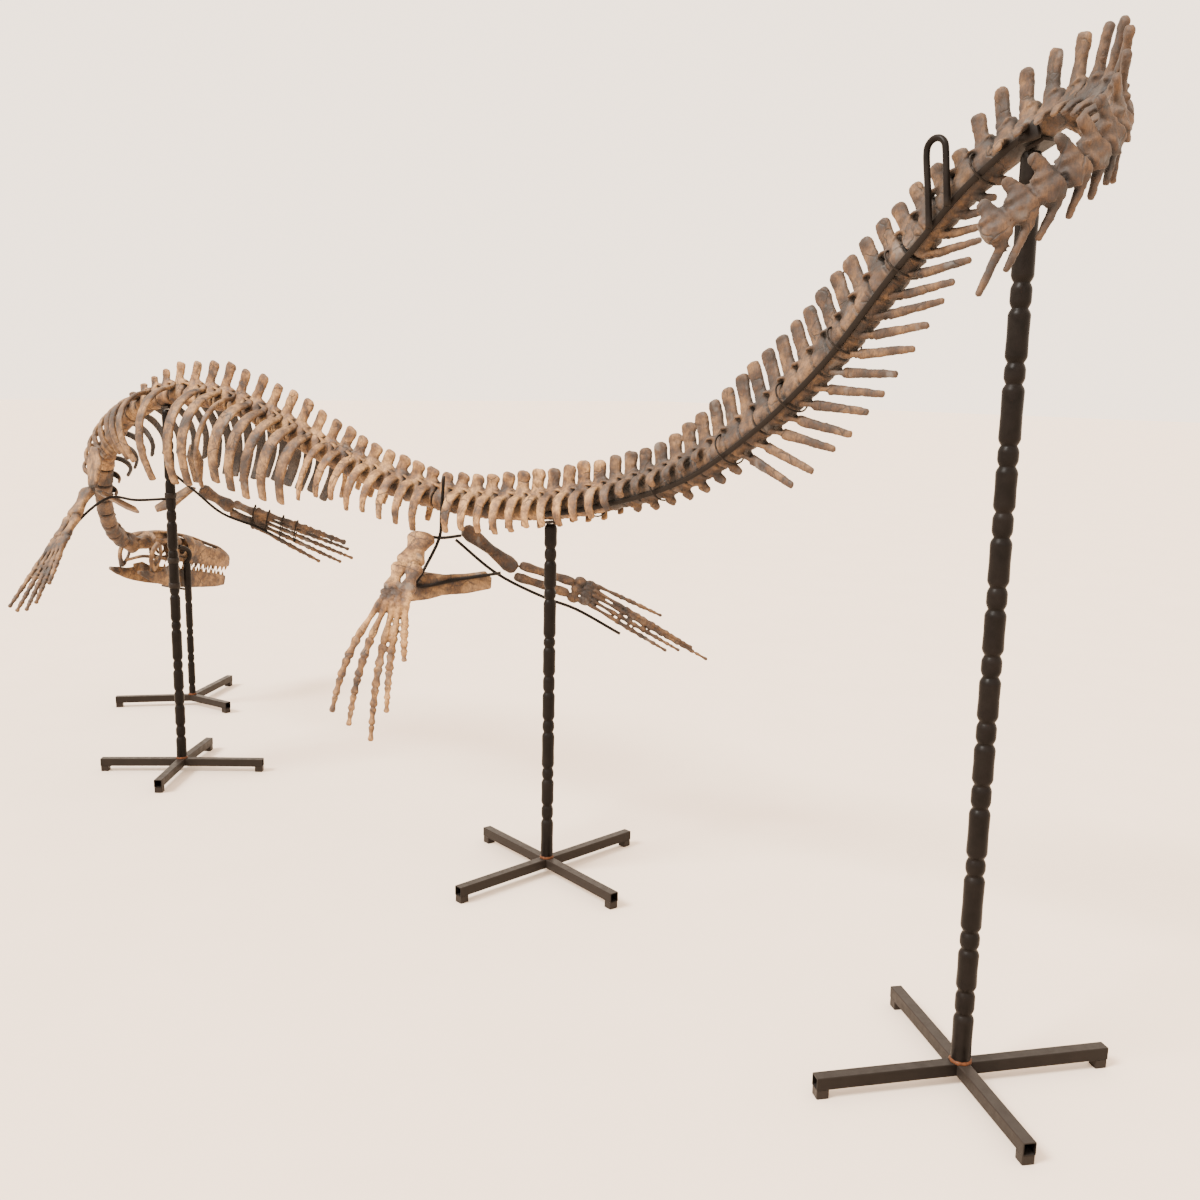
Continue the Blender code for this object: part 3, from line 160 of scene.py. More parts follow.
def smooth_path(stations, steps=12):
    """Points of a centripetal Catmull-Rom curve through the stations."""
    knots = [Vector(p) for p in stations]
    knots = [2 * knots[0] - knots[1]] + knots + [2 * knots[-1] - knots[-2]]
    curve = []
    for p0, p1, p2, p3 in zip(knots, knots[1:], knots[2:], knots[3:]):
        t1 = (p1 - p0).length ** 0.5
        t2 = t1 + (p2 - p1).length ** 0.5
        t3 = t2 + (p3 - p2).length ** 0.5
        for step in range(steps):
            t = t1 + (t2 - t1) * step / steps
            a1 = p0.lerp(p1, t / t1)
            a2 = p1.lerp(p2, (t - t1) / (t2 - t1))
            a3 = p2.lerp(p3, (t - t2) / (t3 - t2))
            b1 = a1.lerp(a2, t / t2)
            b2 = a2.lerp(a3, (t - t1) / (t3 - t1))
            curve.append(b1.lerp(b2, (t - t1) / (t2 - t1)))
    curve.append(knots[-2])
    return curve


class Spine:
    """The backbone's centre line, read by arc length."""

    def __init__(self, stations):
        self.curve = [p + SHIFT for p in smooth_path(stations)]
        self.reach = [NECK_START]
        for a, b in zip(self.curve, self.curve[1:]):
            self.reach.append(self.reach[-1] + (b - a).length)
        self.length = self.reach[-1]

    def point(self, s):
        s = min(max(s, NECK_START), self.length)
        index = min(max(int(np.searchsorted(self.reach, s)), 1), len(self.reach) - 1)
        share = (s - self.reach[index - 1]) / (self.reach[index] - self.reach[index - 1])
        return self.curve[index - 1].lerp(self.curve[index], share)

    def frame(self, s):
        """Point, direction to the tail, up across the spine, and the animal's left."""
        tail = (self.point(s + 0.03) - self.point(s - 0.03)).normalized()
        up = (Vector((0, 0, 1)) - tail * tail.z).normalized()
        return self.point(s), tail, up, tail.cross(up)

    def place(self, s, left, high, back=0.0):
        point, tail, up, side = self.frame(s)
        return point + side * left + up * high + tail * back


SPINE = Spine(SPINE_STATIONS)


# ------------------------------------------------------------------ mesh making
def circle(count):
    """Cosine and sine of each even step round a circle."""
    return [(math.cos(a), math.sin(a)) for a in (2 * math.pi * k / count for k in range(count))]


def squarer(value, power):
    """A cosine or sine pulled towards the corners of a square."""
    return math.copysign(abs(value) ** power, value)


class Shell:
    """Closed forms gathered into one mesh."""

    def __init__(self):
        self.points = []
        self.faces = []

    def ring(self, points):
        first = len(self.points)
        self.points.extend(tuple(p) for p in points)
        return list(range(first, len(self.points)))

    def loft(self, rings, closed=True):
        rows = [self.ring(r) for r in rings]
        n = len(rows[0])
        for a, b in zip(rows, rows[1:]):
            for k in range(n):
                m = (k + 1) % n
                self.faces.append((a[k], a[m], b[m], b[k]))
        if closed:
            self.faces.append(tuple(rows[0][::-1]))
            self.faces.append(tuple(rows[-1]))

    def shaft(self, path, across, widths, thicks, sides=12, power=2.0, blunt=0.5):
        """A flattened rod along a path: full widths across it and full thicknesses, with rounded ends."""
        path = [Vector(p) for p in path]
        count = len(path)
        rings = []
        for i, p in enumerate(path):
            axis = (path[min(i + 1, count - 1)] - path[max(i - 1, 0)]).normalized()
            side = (Vector(across) - axis * axis.dot(Vector(across))).normalized()
            flat = axis.cross(side)
            share = i / (count - 1)
            w = float(np.interp(share, np.linspace(0, 1, len(widths)), widths)) / 2
            t = float(np.interp(share, np.linspace(0, 1, len(thicks)), thicks)) / 2

            def oval(scale, shift):
                return [p + side * w * squarer(c, 2 / power) * scale + flat * t * squarer(s, 2 / power) * scale
                        + axis * shift for c, s in circle(sides)]
            if i == 0:
                rings.append(oval(0.55, -blunt * min(w, t)))
            rings.append(oval(1.0, 0.0))
            if i == count - 1:
                rings.append(oval(0.55, blunt * min(w, t)))
        self.loft(rings)

    def ball(self, centre, radii, axes=((1, 0, 0), (0, 1, 0), (0, 0, 1)), rows=8, sides=12):
        centre = Vector(centre)
        a, b, c = (Vector(v) for v in axes)
        rings = []
        for i in range(1, rows):
            lat = math.pi * i / rows
            rings.append([centre + c * radii[2] * math.cos(lat)
                          + (a * radii[0] * cos + b * radii[1] * sin) * math.sin(lat) for cos, sin in circle(sides)])
        self.loft(rings)

    def prism(self, outline, normal, thick):
        """A plate whose rim is thinner than its middle."""
        points = [Vector(p) for p in outline]
        n = Vector(normal).normalized()
        middle = sum(points, Vector()) / len(points)
        inner = [middle.lerp(p, 0.86) for p in points]
        self.loft([[p - n * thick * 0.5 for p in inner], [p - n * thick * 0.22 for p in points],
                   [p + n * thick * 0.22 for p in points], [p + n * thick * 0.5 for p in inner]])


def mesh_object(name, shell):
    mesh = bpy.data.meshes.new(name)
    mesh.from_pydata(shell.points, [], shell.faces)
    mesh.validate()
    thing = bpy.data.objects.new(name, mesh)
    bpy.context.scene.collection.objects.link(thing)
    return thing


def settle(thing):
    """Turn what the modifiers give into the object's own mesh."""
    graph = bpy.context.evaluated_depsgraph_get()
    mesh = bpy.data.meshes.new_from_object(thing.evaluated_get(graph))
    thing.modifiers.clear()
    thing.data = mesh


def inside_cad(thing):
    """Hold every vertex inside the box of the solids."""
    flat = np.empty(len(thing.data.vertices) * 3)
    thing.data.vertices.foreach_get("co", flat)
    co = np.clip(flat.reshape(-1, 3), np.array(CAD_LOW), np.array(CAD_HIGH))
    thing.data.vertices.foreach_set("co", co.ravel())
    thing.data.update()


def place_piece(thing, finish, nodes=()):
    thing.data.materials.clear()
    thing.data.materials.append(finish)
    thing.data.polygons.foreach_set("use_smooth", [True] * len(thing.data.polygons))
    inside_cad(thing)
    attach(thing, "root")
    if nodes:
        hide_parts(*nodes)
    return thing


def clouds(name, scale, depth):
    texture = bpy.data.textures.new(name, "CLOUDS")
    texture.noise_scale = scale
    texture.noise_depth = depth
    return texture


LUMPS = clouds("lumps", 0.022, 3)
PITS = clouds("pits", 0.006, 2)


def bone_piece(name, shell, finish, nodes, skin):
    """Bones fused into one skin, then worn and pitted."""
    voxel, rough = SKINS[skin]
    thing = mesh_object(name, shell)
    remesh = thing.modifiers.new("skin", "REMESH")
    remesh.mode = "VOXEL"
    remesh.voxel_size = voxel
    soften = thing.modifiers.new("soften", "SMOOTH")
    soften.factor = 0.5
    soften.iterations = 2
    for texture, strength in ((LUMPS, rough), (PITS, rough * 0.45)):
        wear = thing.modifiers.new("wear", "DISPLACE")
        wear.texture = texture
        wear.texture_coords = "LOCAL"
        wear.mid_level = 0.5
        wear.strength = strength
    settle(thing)
    return place_piece(thing, finish, nodes)


# ------------------------------------------------------------------ materials
class Tree:
    """Short way to write a material's nodes."""

    def __init__(self, name):
        self.material = bpy.data.materials.new(name)
        self.material.use_nodes = True
        self.nodes = self.material.node_tree.nodes
        self.links = self.material.node_tree.links
        self.shader = self.nodes["Principled BSDF"]
        self.place = self.nodes.new("ShaderNodeTexCoord").outputs["Object"]

    def put(self, socket, value):
        if isinstance(value, bpy.types.NodeSocket):
            self.links.new(value, socket)
        else:
            socket.default_value = value

    def add(self, kind, **inputs):
        """A new node, with the named inputs set or linked."""
        node = self.nodes.new("ShaderNode" + kind)
        for name, value in inputs.items():
            self.put(node.inputs[name], value)
        return node

    def noise(self, scale, detail=4.0, rough=0.6, stretch=None):
        source = self.place
        if stretch:
            source = self.add("Mapping", Vector=source, Scale=stretch).outputs["Vector"]
        return self.add("TexNoise", Vector=source, Scale=scale, Detail=detail, Roughness=rough).outputs["Fac"]

    def ramp(self, value, stops):
        node = self.add("ValToRGB", Fac=value)
        band = node.color_ramp
        while len(band.elements) < len(stops):
            band.elements.new(0.5)
        for element, (place, colour) in zip(band.elements, stops):
            element.position = place
            shade = colour if isinstance(colour, tuple) else (colour, colour, colour)
            element.color = (*shade, 1.0)
        return node.outputs["Color"]

    def mix(self, share, a, b, blend="MIX"):
        node = self.add("Mix")
        node.data_type = "RGBA"
        node.blend_type = blend
        self.put(node.inputs[0], share)
        for socket, value in ((node.inputs[6], a), (node.inputs[7], b)):
            self.put(socket, (*value, 1.0) if isinstance(value, tuple) else value)
        return node.outputs[2]

    def math(self, kind, a, b):
        node = self.add("Math")
        node.operation = kind
        self.put(node.inputs[0], a)
        self.put(node.inputs[1], b)
        return node.outputs[0]

    def vector_math(self, kind, a):
        node = self.add("VectorMath")
        node.operation = kind
        self.put(node.inputs[0], a)
        return node

    def bump(self, heights):
        last = None
        for value, strength, distance in heights:
            node = self.add("Bump", Strength=strength, Distance=distance, Height=value)
            if last is not None:
                self.links.new(last, node.inputs["Normal"])
            last = node.outputs["Normal"]
        self.links.new(last, self.shader.inputs["Normal"])

    def lighter_edges(self, tone, colour, stops):
        """Paler where the surface turns sharply, as on a worn edge."""
        edge = self.add("NewGeometry").outputs["Pointiness"]
        return self.mix(self.ramp(edge, stops), tone, colour)


def bone_finish(name, light, middle, dark, crack_and_shade, grey, grey_share):
    """Stained and grained bone with grey patches and cracks, and painted shade darkening its hollows."""
    tree = Tree(name)
    broad = tree.ramp(tree.noise(15.0, 4.0, 0.60), [(0.36, dark), (0.47, middle), (0.60, light)])
    stain = tree.ramp(tree.noise(46.0, 6.0, 0.70), [(0.44, 0.0), (0.62, 1.0)])
    tone = tree.mix(tree.math("MULTIPLY", stain, 0.62), broad, dark)
    grain = tree.ramp(tree.noise(240.0, 4.0, 0.7, stretch=(1.0, 1.0, 0.35)), [(0.34, 0.55), (0.66, 1.20)])
    tone = tree.mix(1.0, tone, grain, "MULTIPLY")
    patches = tree.ramp(tree.noise(16.0, 3.0, 0.5, stretch=(1.0, 1.3, 0.8)), [(0.62, 0.0), (0.70, grey_share)])
    tone = tree.mix(patches, tone, grey)
    # cracks along the walls of bent cells
    small = tree.vector_math("SCALE", tree.add("TexNoise", Vector=tree.place, Scale=30.0).outputs["Color"])
    small.inputs["Scale"].default_value = 0.03
    warp = tree.vector_math("ADD", tree.place)
    tree.put(warp.inputs[1], small.outputs[0])
    cells = tree.add("TexVoronoi", Vector=warp.outputs[0], Scale=17.0)
    cells.feature = "DISTANCE_TO_EDGE"
    lines = tree.ramp(cells.outputs["Distance"], [(0.0, 1.0), (0.050, 0.0)])
    broken = tree.ramp(tree.noise(13.0, 2.0, 0.5), [(0.45, 0.0), (0.58, 1.0)])
    cracks = tree.math("MULTIPLY", lines, broken)
    tone = tree.mix(tree.math("MULTIPLY", cracks, 0.85), tone, crack_and_shade)
    # painted shade in the hollows: darker where ambient occlusion finds surfaces close by, mixed towards the crack
    # tone
    hollow = tree.add("AmbientOcclusion", Distance=0.050)
    hollow.samples = 8
    shade = tree.ramp(hollow.outputs["AO"], [(0.38, 1.0), (0.95, 0.0)])
    tone = tree.mix(tree.math("MULTIPLY", shade, 0.92), tone, crack_and_shade)
    tone = tree.lighter_edges(tone, light, [(0.52, 0.0), (0.60, 0.35)])
    tree.put(tree.shader.inputs["Base Color"], tone)
    tree.put(tree.shader.inputs["Roughness"], tree.ramp(tree.noise(60.0), [(0.3, 0.62), (0.7, 0.86)]))
    tree.bump([(tree.noise(260.0, 5.0, 0.7), 0.35, 0.0010), (tree.noise(55.0, 5.0, 0.65), 0.45, 0.0030),
               (tree.math("SUBTRACT", 1.0, cracks), 0.8, 0.0015)])
    return tree.material


def steel_finish(name, rusty=False):
    """Mill steel with rust spots, a painted sheen on its upward faces, and paler at its edges."""
    tree = Tree(name)
    base = tree.ramp(tree.noise(24.0, 4.0, 0.6),
                     [(0.30, (0.0030, 0.0024, 0.0021)), (0.70, (0.0065, 0.0050, 0.0043))])
    # painted sheen: faces turned upwards are greyer, broken up by noise, as where light catches them
    facing = tree.add("SeparateXYZ", Vector=tree.add("NewGeometry").outputs["Normal"])
    painted_top_sheen = tree.ramp(facing.outputs["Z"], [(0.80, 0.0), (0.95, 1.0)])
    scale = tree.ramp(tree.noise(34.0, 4.0, 0.6), [(0.35, 0.35), (0.65, 0.95)])
    tone = tree.mix(tree.math("MULTIPLY", painted_top_sheen, scale), base, (0.016, 0.014, 0.013))
    spots = tree.ramp(tree.noise(90.0, 4.0, 0.7), [(0.66, 0.0), (0.74, 0.6)])
    tone = tree.mix(spots, tone, (0.018, 0.009, 0.005))
    tone = tree.lighter_edges(tone, (0.030, 0.024, 0.020), [(0.53, 0.0), (0.60, 0.5)])
    if rusty:
        tone = tree.mix(tree.ramp(tree.noise(120.0), [(0.35, 0.35), (0.6, 1.0)]), tone, (0.085, 0.030, 0.012))
    tree.put(tree.shader.inputs["Base Color"], tone)
    tree.shader.inputs["Metallic"].default_value = 0.0
    tree.shader.inputs["Specular IOR Level"].default_value = 0.07
    tree.put(tree.shader.inputs["Roughness"], tree.ramp(tree.noise(48.0), [(0.3, 0.30), (0.7, 0.50)]))
    tree.bump([(tree.noise(320.0, 4.0, 0.6), 0.18, 0.0006), (tree.noise(40.0, 3.0, 0.5), 0.15, 0.0020)])
    return tree.material


# each finish: light, middle and dark tone, the tone of cracks and of the painted shade in hollows, grey patches and
# their share
BONE = bone_finish("fossil_bone", (0.36, 0.198, 0.072), (0.160, 0.074, 0.022), (0.028, 0.012, 0.004),
                   (0.003, 0.0015, 0.001), (0.115, 0.092, 0.072), 0.60)
MIDDLE_BONE = bone_finish("brown_fossil_bone", (0.225, 0.122, 0.046), (0.090, 0.042, 0.013), (0.017, 0.0075, 0.003),
                          (0.003, 0.0015, 0.001), (0.105, 0.087, 0.072), 0.62)
# the tail's curl: a darker copy of the tail's bone, painted shade for its less lit lower row
CURL_BONE = bone_finish("darkest_fossil_bone", (0.078, 0.038, 0.014), (0.028, 0.012, 0.0045), (0.007, 0.003, 0.0015),
                        (0.002, 0.001, 0.001), (0.066, 0.056, 0.049), 0.65)
DARK_BONE = bone_finish("dark_fossil_bone", (0.128, 0.066, 0.025), (0.047, 0.021, 0.0075), (0.011, 0.005, 0.0025),
                        (0.003, 0.002, 0.001), (0.095, 0.082, 0.073), 0.65)
# far ribs: the same bone darkened and greyed, as painted shade
SHADED_FAR_RIB_BONE = bone_finish("painted_shade_far_rib_bone", (0.062, 0.042, 0.028), (0.028, 0.019, 0.013), (0.011, 0.007, 0.005),
                           (0.002, 0.001, 0.001), (0.042, 0.038, 0.036), 0.75)
STEEL = steel_finish("black_mill_steel")
RUST = steel_finish("rusty_weld", True)


# ------------------------------------------------------------------ vertebrae
def rigid(s):
    """A vertebra's own frame: a point by its offsets left, up and to the rear, then its rear and its left."""
    point, tail, up, side = SPINE.frame(s)

    def at(left, high, back):
        return point + side * left + up * high + tail * back
    return at, tail, side


def centrum(shell, at, r, length):
    """Spool with a hollow front and a domed rear."""
    profile = ((-0.46, 0.55), (-0.50, 0.88), (-0.47, 1.0), (-0.36, 0.97), (-0.12, 0.90), (0.12, 0.90),
               (0.34, 0.94), (0.43, 0.98), (0.49, 0.82), (0.545, 0.42))
    shell.loft([[at(r * girth * cos, r * girth * (0.93 * sin - 0.02), back * length) for cos, sin in circle(20)]
                for back, girth in profile])


LEAN_START = 1.25             # radii above the centre line, where the spines begin to lean


def neural_spine(shell, at, r, tall, base_back, length, thick, blunt):
    """Upright blade, swept to the rear above the arch."""
    lean = math.tan(math.radians(SPINE_SWEEP + chance.uniform(-2.5, 2.5)))
    start = 0.95 * r
    tall *= chance.uniform(0.93, 1.0)
    tip = chance.uniform(0.88, 1.08) if blunt else chance.uniform(0.70, 0.95)
    path, widths = [], []
    steps = 9
    for i in range(steps + 1):
        share = i / steps
        high = start + (tall - start) * share
        back = base_back + length / 2 + max(0.0, high - LEAN_START * r) * lean
        path.append(at(chance.uniform(-0.0012, 0.0012), high, back))
        waist = 1.04 - 0.14 * math.sin(math.pi * min(share * 1.15, 1.0))
        widths.append(length * (waist if share < 0.70 else tip * (1.02 if share < 0.95 else 0.84)))
    tail = at(0, 0, 1) - at(0, 0, 0)
    shell.shaft(path, tail, widths, [thick * 1.5, thick, thick * 0.9, thick * 1.05], 14, 2.6)


# joint processes: left and up in radii, back in vertebra lengths, then widths and thicknesses
JOINT_PROCESSES = (
    (((0.34, 0.98, -0.20), (0.52, 1.10, -0.42), (0.55, 1.16, -0.58)), (0.018, 0.018, 0.012), (0.012, 0.010, 0.007)),
    (((0.26, 1.12, 0.14), (0.38, 1.14, 0.42)), (0.017, 0.014), (0.011, 0.009)))
CURL_PROCESS = (((0.30, 1.0, -0.3), (0.40, 1.25, 0.3)), (0.016, 0.014), (0.012, 0.010))
OUTER_REACH = 0.38            # of the curl's outer side processes, as the CAD box ends beside them


def vertebra(shell, s, pitch, ribs, chevron, blunt):
    """One vertebra with its arch, spine, joints and side processes."""
    at, tail, side = rigid(s + 0.49 * pitch)
    r = along(CENTRUM_RADIUS, s)
    centrum(shell, at, r * 0.97, pitch * 0.90)
    # arch over the canal, then the joint processes to the front and to the rear
    shell.shaft([at(0, 0.45 * r, -0.01 * pitch), at(0, 0.95 * r, -0.01 * pitch), at(0, 1.36 * r, 0.0)], tail,
                [0.94 * pitch, 0.95 * pitch, 0.86 * pitch], [1.45 * r, 1.05 * r, 0.020], 14, 2.6)

    def small_process(hand, points, widths, thicks):
        shell.shaft([at(hand * x * r, z * r, y * pitch) for x, z, y in points], side, widths, thicks, 10)
    if s < CURL_START:
        for hand in (1, -1):
            for process in JOINT_PROCESSES:
                small_process(hand, *process)
    neural_spine(shell, at, r, along(SPINE_HEIGHT, s), -0.49 * pitch, pitch * along(SPINE_SHARE, s),
                 along(SPINE_THICKNESS, s), blunt)
    if ribs:
        for hand in (1, -1):
            path, tail_axis, length = rib_path(s, pitch, hand, chance.uniform(0.90, 1.0), 12)
            shell.shaft(path, tail_axis, [length * 0.86, length * 0.80, length * 0.70, length * 0.50],
                        [0.020, 0.015, 0.013, 0.010], 12, 2.4)
    if s > CURL_START:
        for hand, reach in ((1, 1.0), (-1, OUTER_REACH)):
            shell.shaft([at(hand * 0.6 * r, 0.1 * r, 0), at(hand * 1.5 * reach * r, -0.25 * r, 0.12 * pitch),
                         at(hand * 2.0 * reach * r, -0.75 * r, 0.28 * pitch)], tail,
                        [0.62 * pitch, 0.50 * pitch, 0.34 * pitch], [0.016, 0.013, 0.010], 12, 2.4)
            small_process(hand, *CURL_PROCESS)
    if chevron:
        chevron_bone(shell, at, s, pitch, r, tail)


def chevron_bone(shell, at, s, pitch, r, tail):
    """Forked bone under the tail, swept to the rear."""
    long = along(CHEVRON_LENGTH, s) * chance.uniform(0.93, 1.0)
    sweep = math.radians(along(CHEVRON_SWEEP, s) + chance.uniform(-2.0, 2.0))
    length = pitch * along(PROCESS_SHARE, s)
    base = -0.49 * pitch + 0.5 * length

    def down(share, left=0.0):
        return at(left, -0.86 * r - long * share * math.cos(sweep), base + long * share * math.sin(sweep))
    for hand in (1, -1):
        shell.shaft([down(0.0, hand * 0.42 * r), down(0.12, hand * 0.25 * r), down(0.26, 0.0)], tail,
                    [0.018, 0.015, 0.017], [0.013, 0.010, 0.012], 10)
    shell.shaft([down(0.16), down(0.45), down(0.75), down(0.98)], tail,
                [0.80 * length, 0.70 * length, 0.62 * length, 0.52 * length], [0.018, 0.017, 0.015, 0.013], 12, 2.4)


def stations_of(stretch):
    first, last, count = stretch
    pitch = (last - first) / count
    return [(first + pitch * i, pitch) for i in range(count)]


def carries_chevron(s, pitch):
    """None stands where the tail's pole passes."""
    return along(CHEVRON_LENGTH, s) > 0.02 and abs(s + 0.3 * pitch - BAR_LAST) > 0.085


RIB_TURN = math.radians(100.0)
RIB_BOW, RIB_TUCK = 0.14, 0.10   # outwards at its middle and inwards at its end, against its reach


def rib_path(s, pitch, hand, low_share=1.0, steps=22):
    """Middle line of a rib: a quarter turn outwards and down."""
    r = along(CENTRUM_RADIUS, s)
    depth = along(RIB_DEPTH, s)
    reach = along(RIB_REACH, s)
    length = pitch * along(PROCESS_SHARE, s)
    path = []
    for i in range(steps + 1):
        share = low_share * i / steps
        turn = RIB_TURN * share
        left = 0.65 * r + (reach - 0.65 * r) * math.sin(min(turn, math.pi / 2)) - 0.012 * max(0.0, share - 0.75) / 0.25
        drop = depth * (1 - math.cos(turn)) / (1 - math.cos(RIB_TURN))
        path.append(SPINE.place(s, hand * left, 0.7 * r - drop, 0.5 * length + 0.08 * drop))
    return path, SPINE.frame(s)[1], length


def rib(shell, s, pitch, hand, slim=1.0):
    """A rib from the arch outwards and down, bowed out past the solids' line."""
    share = chance.uniform(0.92, 1.0)
    path, tail, length = rib_path(s, pitch, hand, share)
    side = SPINE.frame(s)[3] * hand * along(RIB_REACH, s)
    last = len(path) - 1
    path = [p + side * (RIB_BOW * math.sin(math.pi * i / last) - RIB_TUCK * (i / last) ** 3)
            for i, p in enumerate(path)]
    broad = pitch * along(RIB_SHARE, s) * chance.uniform(0.86, 1.0) * slim
    r = along(CENTRUM_RADIUS, s)
    path.insert(0, SPINE.place(s, hand * 0.45 * r, 1.05 * r, 0.5 * length))
    shell.shaft(path, tail, [broad * 0.55, broad * 0.86, broad, broad * 0.98, broad * 0.92, broad * 0.86],
                [0.019, 0.0175, 0.0165, 0.016, 0.0155, 0.014], 14, 2.4)


# the curl takes the darkest copy of the bone: painted shade on the tail's less lit lower row
TAIL_FINISH = {"tail_1": DARK_BONE, "tail_2": DARK_BONE, "tail_3": DARK_BONE, "tail_4": CURL_BONE}
for name in ("neck", "loin", "tail_base", *TAIL_FINISH):
    shell = Shell()
    for s, pitch in stations_of(STRETCHES[name]):
        near_rod = abs(s + pitch * along(PROCESS_SHARE, s) / 2 - HIP_STATION) < HIP_BAY
        ribbed = FIRST_SIDE_PROCESS < s < LAST_SIDE_PROCESS and not near_rod
        vertebra(shell, s, pitch, ribbed, carries_chevron(s, pitch), BLUNT_FIRST < s < BLUNT_LAST)
    finish = TAIL_FINISH.get(name, DARK_BONE if name == "neck" else BONE)
    bone_piece(f"{name}_bones", shell, finish, (name,), "spine")

cage = stations_of(STRETCHES["rib_cage"])
shell = Shell()
for s, pitch in cage:
    vertebra(shell, s, pitch, False, False, True)
bone_piece("rib_cage_vertebrae", shell, BONE, ("rib_cage_left", "rib_cage_right"), "spine")
# the far (right) ribs take the darkened finish: painted shade
for side_name, hand, finish in (("left", 1, MIDDLE_BONE), ("right", -1, SHADED_FAR_RIB_BONE)):
    shell = Shell()
    for place, (s, pitch) in enumerate(cage):
        if hand > 0 and place in LOST_LEFT_RIBS:
            continue
        rib(shell, s, pitch, hand, THIN_RIB_SHARE if hand > 0 and place == THIN_LEFT_RIB else 1.0)
    bone_piece(f"ribs_{side_name}", shell, finish, (f"rib_cage_{side_name}",), "rib")


# ------------------------------------------------------------------ skull and jaw
SKULL_HEADING = math.radians(106.8)
SKULL_PITCH = math.radians(-11.0)
JAW_OPENING = math.radians(4.0)
SKULL_ORIGIN = Vector((-2.3091, -0.0825, 0.7954)) + SHIFT
JAW_JOINT = (0.005, 0.120, -0.100)
SKULL_LENGTH, JAW_LENGTH = 0.565, 0.560
FORWARD = Vector((math.cos(SKULL_HEADING), math.sin(SKULL_HEADING), 0.0))
SKULL_LEFT = Vector((-FORWARD.y, FORWARD.x, 0.0))
NOSE = FORWARD * math.cos(SKULL_PITCH) + Vector((0, 0, math.sin(SKULL_PITCH)))
SKULL_UP = NOSE.cross(SKULL_LEFT)


def skull_point(x, y, z):
    """Place of a point of the skull's frame: x to the nose, y to its left, z up."""
    return SKULL_ORIGIN + NOSE * x + SKULL_LEFT * y + SKULL_UP * z


def jaw_point(x, y, z):
    """The same for the lower jaw, which is written shut and opened here about its joint."""
    dx, dz = x - JAW_JOINT[0], z - JAW_JOINT[2]
    c, s = math.cos(-JAW_OPENING), math.sin(-JAW_OPENING)
    return skull_point(JAW_JOINT[0] + dx * c - dz * s, y, JAW_JOINT[2] + dx * s + dz * c)


# place, then half width and height of the roof, of the brow and of the lip
SKULL_SECTIONS = (
    (0.016, 0.030, 0.062, 0.088, 0.046, 0.082, -0.022),
    (0.055, 0.040, 0.082, 0.118, 0.052, 0.108, -0.026),
    (0.110, 0.045, 0.092, 0.118, 0.058, 0.106, -0.030),
    (0.170, 0.048, 0.094, 0.108, 0.058, 0.100, -0.036),
    (0.250, 0.044, 0.088, 0.090, 0.052, 0.087, -0.044),
    (0.320, 0.038, 0.078, 0.073, 0.040, 0.072, -0.050),
    (0.420, 0.030, 0.062, 0.056, 0.024, 0.056, -0.054),
    (0.520, 0.020, 0.042, 0.040, 0.006, 0.040, -0.055),
    (SKULL_LENGTH, 0.010, 0.010, 0.020, -0.010, 0.020, -0.048),
)
# place, half width, height of the lower and of the upper edge
JAW_SECTIONS = (
    (-0.055, 0.112, -0.122, -0.108),
    (-0.010, 0.118, -0.138, -0.104),
    (0.060, 0.116, -0.154, -0.100),
    (0.120, 0.102, -0.158, -0.066),
    (0.160, 0.091, -0.158, -0.072),
    (0.260, 0.076, -0.152, -0.062),
    (0.380, 0.056, -0.138, -0.058),
    (0.480, 0.040, -0.124, -0.056),
    (JAW_LENGTH - 0.015, 0.022, -0.108, -0.058),
)


ROOF, BROW, LIP = 1, 3, 5     # columns, each followed by its height
JAW_HALF, JAW_LOW, JAW_HIGH = 1, 2, 3
SIDEWAYS, FORWARDS, UPWARDS = (0, 1, 0), (1, 0, 0), (0, 0, 1)


def read_at(x, table, *columns):
    """Values of a table's columns at a place, straight between its rows."""
    places = [row[0] for row in table]
    return [float(np.interp(x, places, [row[column] for row in table])) for column in columns]


# bars of the skull: points, direction of their widths, widths and thicknesses along them
BRAINCASE = (((-0.002, 0, 0.015), (0.05, 0, 0.033), (0.12, 0, 0.047), (0.18, 0, 0.057)), SIDEWAYS,
             (0.050, 0.060, 0.052, 0.040), (0.040, 0.058, 0.050, 0.030))
ROOF_BARS = (
    # parietal table
    (((0.050, 0, 0.074), (0.11, 0, 0.084), (0.175, 0, 0.088)), SIDEWAYS, (0.050, 0.030, 0.074), (0.012, 0.014, 0.012)),
    # frontal
    (((0.165, 0, 0.084), (0.23, 0, 0.083), (0.30, 0, 0.076), (0.36, 0, 0.068)), SIDEWAYS,
     (0.092, 0.100, 0.078, 0.030), (0.012, 0.012, 0.011, 0.010)),
    # bar of the snout
    (((0.33, 0, 0.071), (0.42, 0, 0.054), (0.50, 0, 0.035), (0.560, 0, -0.003)), SIDEWAYS,
     (0.026, 0.020, 0.024, 0.020), (0.012, 0.012, 0.014, 0.020)))
